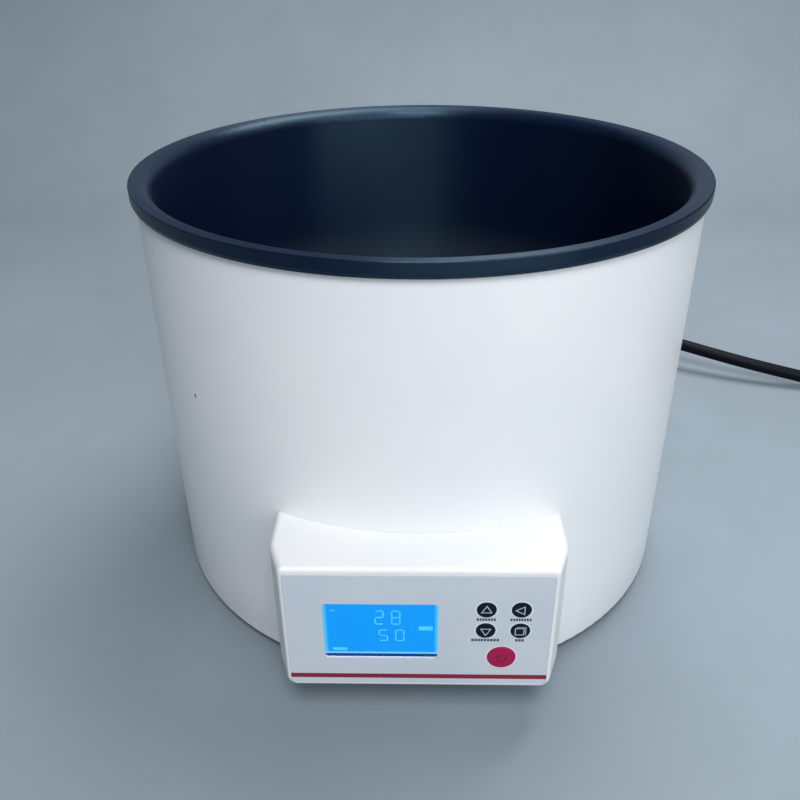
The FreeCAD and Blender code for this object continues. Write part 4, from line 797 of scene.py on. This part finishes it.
@dataclass
class Studio:
    """The camera, the pale floor and backdrop, and the soft light."""

    camera_place: tuple[float, float, float] = (0.0, -0.4117, 0.3176)
    pitch: float = 0.5284
    yaw: float = -0.0261
    roll: float = -0.0113
    focal_pixels: float = 831.80
    picture_pixels: float = 800.0
    sensor: float = 36.0
    clip: tuple[float, float] = (0.01, 20.0)
    half_width: float = 3.0
    near_edge: float = -2.0
    wall: float = 0.9
    wall_top: float = 2.4
    bend: float = 0.34
    bend_steps: int = 24
    floor_colour: Colour = shade(126, 139, 148)
    clouded_colour: Colour = shade(131, 144, 154)
    clouds: Pattern = Pattern(6.0, 5.0, 0.6)
    paper_roughness: float = 0.85
    room_colour: Colour = shade(236, 240, 243)
    room_strength: float = 0.2
    lamp_target: tuple[float, float, float] = (0.0, 0.0, 0.1)
    lamps: tuple[Lamp, ...] = (
        Lamp("overhead_lamp", (0.3, 0.42, 1.3), 0.7, 15.5),
        Lamp("right_lamp", (1.0, -1.46, 0.9), 1.3, 14.3),
        Lamp("front_lamp", (0.03, -0.85, 1.3), 0.5, 12.6),
    )

    def camera(self) -> None:
        """Places the camera at the viewing angle of the photograph."""
        tilt_cos, tilt_sin = math.cos(self.pitch), math.sin(self.pitch)
        ahead = Vector((math.sin(self.yaw) * tilt_cos, math.cos(self.yaw) * tilt_cos, -tilt_sin))
        right = Vector((math.cos(self.yaw), -math.sin(self.yaw), 0.0))
        above = right.cross(ahead)
        turn_cos, turn_sin = math.cos(self.roll), math.sin(self.roll)
        across = right * turn_cos + above * turn_sin
        up = above * turn_cos - right * turn_sin
        data = bpy.data.cameras.new("camera")
        data.sensor_width = self.sensor
        data.lens = self.focal_pixels / self.picture_pixels * self.sensor
        data.clip_start, data.clip_end = self.clip
        camera = bpy.data.objects.new("camera", data)
        basis = Matrix((across, up, -ahead)).transposed().to_4x4()
        camera.matrix_world = Matrix.Translation(self.camera_place) @ basis
        bpy.context.scene.collection.objects.link(camera)
        bpy.context.scene.camera = camera
        LOG.info("placed the camera")

    def backdrop(self) -> None:
        """Makes the floor, which curves up into a plain wall behind the bath."""
        shape = bmesh.new()
        side, bend_start = -self.half_width, self.wall - self.bend
        near = shape.verts.new((side, self.near_edge, 0.0))
        far = shape.verts.new((side, bend_start, 0.0))
        shape.edges.new((near, far))
        curve = bmesh.ops.spin(shape, geom=[far], axis=(1, 0, 0), cent=(side, bend_start, self.bend),
                               angle=math.pi / 2, steps=self.bend_steps, use_merge=False)
        top = shape.verts.new((side, self.wall, self.wall_top))
        shape.edges.new((curve["geom_last"][0], top))
        grown = bmesh.ops.extrude_edge_only(shape, edges=list(shape.edges))
        moved = [v for v in grown["geom"] if isinstance(v, bmesh.types.BMVert)]
        bmesh.ops.translate(shape, vec=(2 * self.half_width, 0.0, 0.0), verts=moved)
        bmesh.ops.recalc_face_normals(shape, faces=shape.faces)
        mesh = bpy.data.meshes.new("backdrop")
        shape.to_mesh(mesh)
        shape.free()
        for polygon in mesh.polygons:
            polygon.use_smooth = True
        backdrop = bpy.data.objects.new("backdrop", mesh)
        bpy.context.scene.collection.objects.link(backdrop)
        recipe = Recipe("backdrop_paper")
        cloud = recipe.patches(self.clouds)
        recipe.set("Base Color", recipe.mix(cloud, self.floor_colour, self.clouded_colour))
        recipe.set("Roughness", self.paper_roughness)
        mesh.materials.append(recipe.material)
        LOG.info("built the backdrop")

    def light(self) -> None:
        """Sets the soft lamps and the plain fill of the room."""
        scene = bpy.context.scene
        scene.view_settings.view_transform = "Standard"
        scene.world = bpy.data.worlds.new("room")
        scene.world.use_nodes = True
        fill = scene.world.node_tree.nodes["Background"].inputs
        fill["Color"].default_value = (*self.room_colour, 1.0)
        fill["Strength"].default_value = self.room_strength
        for lamp in self.lamps:
            lamp.build(self.lamp_target)
        LOG.info("set the light")

    def build(self) -> None:
        """Builds the whole studio."""
        self.camera()
        self.backdrop()
        self.light()


@dataclass
class MainsCord(Assembly):
    """The mains cord: a loose stretch behind the bath and a tied coil at its end."""

    diameter: float = 0.009
    length: float = 1.5
    start: tuple[float, float, float] = (0.0, 0.15935, 0.037)
    route: tuple[tuple[float, float, float], ...] = (
        (0.0, 0.190, 0.037),
        (0.0155, 0.222, 0.0356),
        (0.045, 0.2425, 0.0332),
        (0.082, 0.2455, 0.030),
        (0.124, 0.2335, 0.0268),
        (0.166, 0.2115, 0.0236),
        (0.2105, 0.185, 0.0198),
        (0.2535, 0.165, 0.0146),
        (0.292, 0.1543, 0.009),
    )
    coil_centre: tuple[float, float] = (0.3612, 0.0751)
    coil_entry: float = 72.0
    coil_tail: float = 0.037
    last_run: float = 0.026
    outer: float = 0.054
    inner: float = 0.045
    low: float = 0.00545
    high: float = 0.01445
    goes_in: tuple[float, float] = (0.80, 0.96)
    goes_up: tuple[float, float] = (1.62, 1.80)
    goes_out: tuple[float, float] = (2.44, 2.62)
    points_per_turn: int = 18
    coil_turns: float = 3.2
    curve_order: int = 3
    steps_along: int = 8
    steps_round: int = 6

    def _eased(self, turn: float, steps: Sequence[tuple[float, float, float]], value: float) -> float:
        """Follows a value that changes smoothly between turns.

        Args:
            turn: How far round the coil.
            steps: Where each change starts and ends, and the value after it.
            value: The value before the first change.

        Returns:
            The value there.
        """
        for first, last, after in steps:
            if turn <= first:
                return value
            if turn < last:
                share = (turn - first) / (last - first)
                share = share * share * (3 - 2 * share)
                return value + (after - value) * share
            value = after
        return value

    def _coil_points(self) -> list[Vector]:
        """Gives the coil's control points, clockwise from where the cord meets it."""
        count = round(self.coil_turns * self.points_per_turn)
        points = []
        for i in range(count + 1):
            turn = self.coil_turns * i / count
            angle = math.radians(self.coil_entry - FULL_TURN * turn)
            reach = self._eased(turn, ((*self.goes_in, self.inner), (*self.goes_out, self.outer)), self.outer)
            height = self._eased(turn, ((*self.goes_up, self.high),), self.low)
            points.append(Vector((self.coil_centre[0] + reach * math.cos(angle),
                                  self.coil_centre[1] + reach * math.sin(angle), height)))
        return points

    def points(self) -> list[Vector]:
        """Gives all the control points, from the bend relief to the plug."""
        along = math.radians(self.coil_entry - QUARTER_TURN)
        heading = Vector((math.cos(along), math.sin(along), 0.0))
        coil = self._coil_points()
        tail = coil[0] - heading * self.coil_tail
        before = tail - heading * self.last_run
        end = coil[-1] - Vector((0.0, self.coil_tail, 0.0))
        return [Vector(self.start), *(Vector(p) for p in self.route), before, tail, *coil, end]

    def build(self) -> None:
        """Builds the cord and dresses what is on it."""
        data = bpy.data.curves.new("mains_cord", "CURVE")
        data.dimensions = "3D"
        data.resolution_u = self.steps_along
        data.bevel_depth = self.diameter / 2
        data.bevel_resolution = self.steps_round
        data.use_fill_caps = True
        spline = data.splines.new("NURBS")
        points = self.points()
        spline.points.add(len(points) - 1)
        for place, point in zip(points, spline.points):
            point.co = (*place, 1.0)
        spline.order_u = self.curve_order
        spline.use_endpoint_u = True
        cord = bpy.data.objects.new("mains_cord", data)
        bpy.context.scene.collection.objects.link(cord)
        data.materials.append(self.palette.get(Surface.CORD))
        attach(cord, BATH)
        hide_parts("power_cord", "cord_coil")
        self.dress(("plug_body", "bend_relief"), Surface.RUBBER)
        self.dress(("plug_pins",), Surface.BRASS)
        self.dress(("cord_tie",), Surface.STRAP)
        LOG.info("built mains_cord")


@dataclass
class Drum(Assembly):
    """The white drum, its pan and everything between them."""

    def build(self) -> None:
        """Dresses the drum's pieces."""
        self.dress(("outer_shell",), Surface.DRUM)
        self.dress(("bath_pan",), Surface.PAN)
        self.dress(("rim_seal",), Surface.SILICONE)
        self.dress(("insulation_jacket",), Surface.FELT)
        self.dress(("spreader_plate",), Surface.ALUMINIUM)
        self.dress(("heater_element", "temperature_probe"), Surface.ELEMENT)
        self.dress(("heater_end_seals", "thermal_cutout"), Surface.CERAMIC)
        self.dress(("heater_tabs",), Surface.BRASS)
        self.dress(("insulation_board",), Surface.HARD_BOARD)
        self.dress(("clamp_plate", "tie_studs", "clamp_washers", "clamp_nuts", "cutout_screws"), Surface.ZINC)


@dataclass
class Base(Assembly):
    """The base plate, its feet and the pieces that stand on it."""

    def build(self) -> None:
        """Dresses the base's pieces."""
        self.dress(("base_plate", "base_nuts", "base_screws", "foot_screws", "foot_nuts", "board_pillars",
                    "pillar_screws"), Surface.ZINC)
        self.dress(("rubber_feet",), Surface.RUBBER)
        self.dress(("power_board",), Surface.BOARD)
        self.dress(("board_sockets", "terminal_block"), Surface.PALE)
        self.dress(("transformer",), Surface.COPPER)
        self.dress(("relay",), Surface.BLUE)
        self.dress(("fuse_holder", "gland_body", "gland_locknut"), Surface.DARK)
        self.dress(("earth_stud",), Surface.BRASS)
        self.dress(("heater_leads", "probe_lead", "cutout_leads", "supply_leads"), Surface.LEAD)


@dataclass
class ControlBox(Assembly):
    """The control box with its printed front and what is behind it."""

    def build(self) -> None:
        """Dresses the box's pieces."""
        self.dress(("control_housing",), Surface.BOX)
        self.dress(("front_overlay",), Surface.FILM)
        self.dress(("housing_screws", "board_screws"), Surface.ZINC)
        self.dress(("control_board",), Surface.BOARD)
        self.dress(("control_connector",), Surface.PALE)
        self.dress(("control_cable",), Surface.LEAD)
        self.dress(("key_switches", "lcd_bezel"), Surface.DARK)


@dataclass
class Display(Assembly):
    """The lit display with its figures and marks. Places are in millimetres."""

    front: float = -156.08
    figure_width: float = 3.4
    stroke: float = 0.62
    part_gap: float = 0.25
    rows: tuple[tuple[str, float, float, float], ...] = (("28", -16.5, 62.7, 7.4), ("50", -14.9, 52.4, 6.2))
    spacing: float = 7.0
    bars: tuple[tuple[float, ...], ...] = ((3.2, 56.6, 5.9, 2.4), (-33.7, 44.2, 6.2, 1.6))
    arcs: tuple[tuple[float, ...], ...] = ((-36.0, 65.8, 0.9, 0.3, 20.0, 140.0),)

    def _figure(self, prints: FlatPrint, digit: str, x: float, z: float, height: float) -> None:
        """Adds one seven-part figure.

        Args:
            prints: Where it goes.
            digit: The figure.
            x: Its middle, across.
            z: Its middle, up.
            height: Its height.
        """
        parts = {"0": "abcdef", "2": "abged", "5": "afgcd", "8": "abcdefg"}[digit]
        half, wide = height / 2, self.figure_width / 2
        places = {
            "a": (0.0, half, False), "g": (0.0, 0.0, False), "d": (0.0, -half, False),
            "b": (wide, half / 2, True), "c": (wide, -half / 2, True),
            "f": (-wide, half / 2, True), "e": (-wide, -half / 2, True),
        }
        for part in parts:
            dx, dz, upright = places[part]
            length = half if upright else self.figure_width
            prints.dash(x + dx, z + dz, length - self.part_gap, self.stroke, upright)

    def build(self) -> None:
        """Dresses the display and adds its figures and marks."""
        self.dress(("lcd_glass",), Surface.DISPLAY)
        self.dress(("display_lens",), Surface.LENS)
        prints = FlatPrint(self.front)
        for text, x, z, height in self.rows:
            for i, digit in enumerate(text):
                self._figure(prints, digit, x + i * self.spacing, z, height)
        for bar in self.bars:
            prints.bar(*bar)
        for arc in self.arcs:
            prints.arc(*arc)
        self.add("display_figures", prints.closed(), Surface.MARK, "display_blue")


@dataclass(frozen=True)
class KeyPlace:
    """One key: its solid, its place on the front and its radius, in millimetres."""

    node: str
    x: float
    z: float
    radius: float


@dataclass
class KeyPad(Assembly):
    """The five keys with their symbols, and the print round them.

    Places are in millimetres. The symbols' parts are placed from the middle of their key.
    """

    film_front: float = -158.70
    cap_front: float = -159.20
    lift: float = 0.02
    keys: tuple[KeyPlace, ...] = (
        KeyPlace("up_key", 28.2, 69.8, 4.0),
        KeyPlace("left_key", 42.6, 69.9, 4.0),
        KeyPlace("down_key", 28.2, 58.1, 4.0),
        KeyPlace("menu_key", 42.7, 58.1, 4.0),
        KeyPlace("power_key", 35.5, 42.5, 6.0),
    )
    ring_gap: float = 0.55
    ring_line: float = 0.6
    line: float = 0.36
    symbol: float = 2.8
    arrow_turns: tuple[tuple[str, float], ...] = (("up_key", 0.0), ("left_key", 90.0), ("down_key", 180.0))
    menu_square: tuple[float, float, float] = (-0.35, -0.15, 45.0)
    menu_bars: tuple[tuple[float, ...], ...] = ((2.2, 0.2, 0.3, 4.3), (0.3, 2.3, 3.6, 0.3))
    power_arc: tuple[float, ...] = (0.0, -0.2, 2.0, 0.5, 120.0, 300.0)
    power_bar: tuple[float, ...] = (0.0, 1.3, 0.5, 2.4)
    captions: tuple[tuple[float, float, int, float], ...] = (
        (28.2, 64.3, 7, 8.2),
        (42.6, 64.3, 8, 9.0),
        (28.2, 52.5, 9, 12.0),
        (42.7, 52.5, 3, 3.9),
    )
    caption_height: float = 1.45
    caption_gap: float = 0.32

    def _symbol(self, key: KeyPlace) -> FlatPrint:
        """Draws one key's symbol.

        Args:
            key: The key.

        Returns:
            The symbol's shapes.
        """
        prints = FlatPrint(self.cap_front - self.lift)
        if key.node == "power_key":
            x, z, *arc = self.power_arc
            prints.arc(key.x + x, key.z + z, *arc)
            bars = (self.power_bar,)
        elif key.node == "menu_key":
            x, z, turn = self.menu_square
            prints.outline(key.x + x, key.z + z, SQUARE, self.symbol, self.line, turn)
            bars = self.menu_bars
        else:
            prints.outline(key.x, key.z, TRIANGLE, self.symbol, self.line, dict(self.arrow_turns)[key.node])
            bars = ()
        for x, z, width, height in bars:
            prints.bar(key.x + x, key.z + z, width, height)
        return prints

    def build(self) -> None:
        """Dresses the keys, adds their symbols, and prints the rings and captions on the film."""
        self.dress(("up_key", "left_key", "down_key", "menu_key"), Surface.NAVY)
        self.dress(("power_key",), Surface.CRIMSON)
        rings = FlatPrint(self.film_front - self.lift)
        for key in self.keys:
            red = key.node == "power_key"
            surface, slot = (Surface.SYMBOL, "crimson_key") if red else (Surface.ICON, "navy_key")
            self.add(f"{key.node}_symbol", self._symbol(key).closed(), surface, slot, f"{key.node}_cap")
            rings.arc(key.x, key.z, key.radius + self.ring_gap, self.ring_line, 0.0, FULL_TURN)
        self.add("key_rings", rings.closed(), Surface.HALO, "film")
        captions = FlatPrint(self.film_front - self.lift)
        for x, z, count, length in self.captions:
            pitch = length / count
            for i in range(count):
                place = x + (i - (count - 1) / 2) * pitch
                captions.bar(place, z, pitch - self.caption_gap, self.caption_height)
        self.add("key_captions", captions.closed(), Surface.CAPTION, "film")


def main() -> None:
    """Builds the studio and the bath."""
    logging.basicConfig(level=logging.INFO, format="%(name)s: %(message)s")
    palette = Palette()
    Studio().build()
    for assembly in (MainsCord, Drum, Base, ControlBox, Display, KeyPad):
        LOG.info("building %s", assembly.__name__)
        assembly(palette).build()


if __name__ == "__main__":
    main()
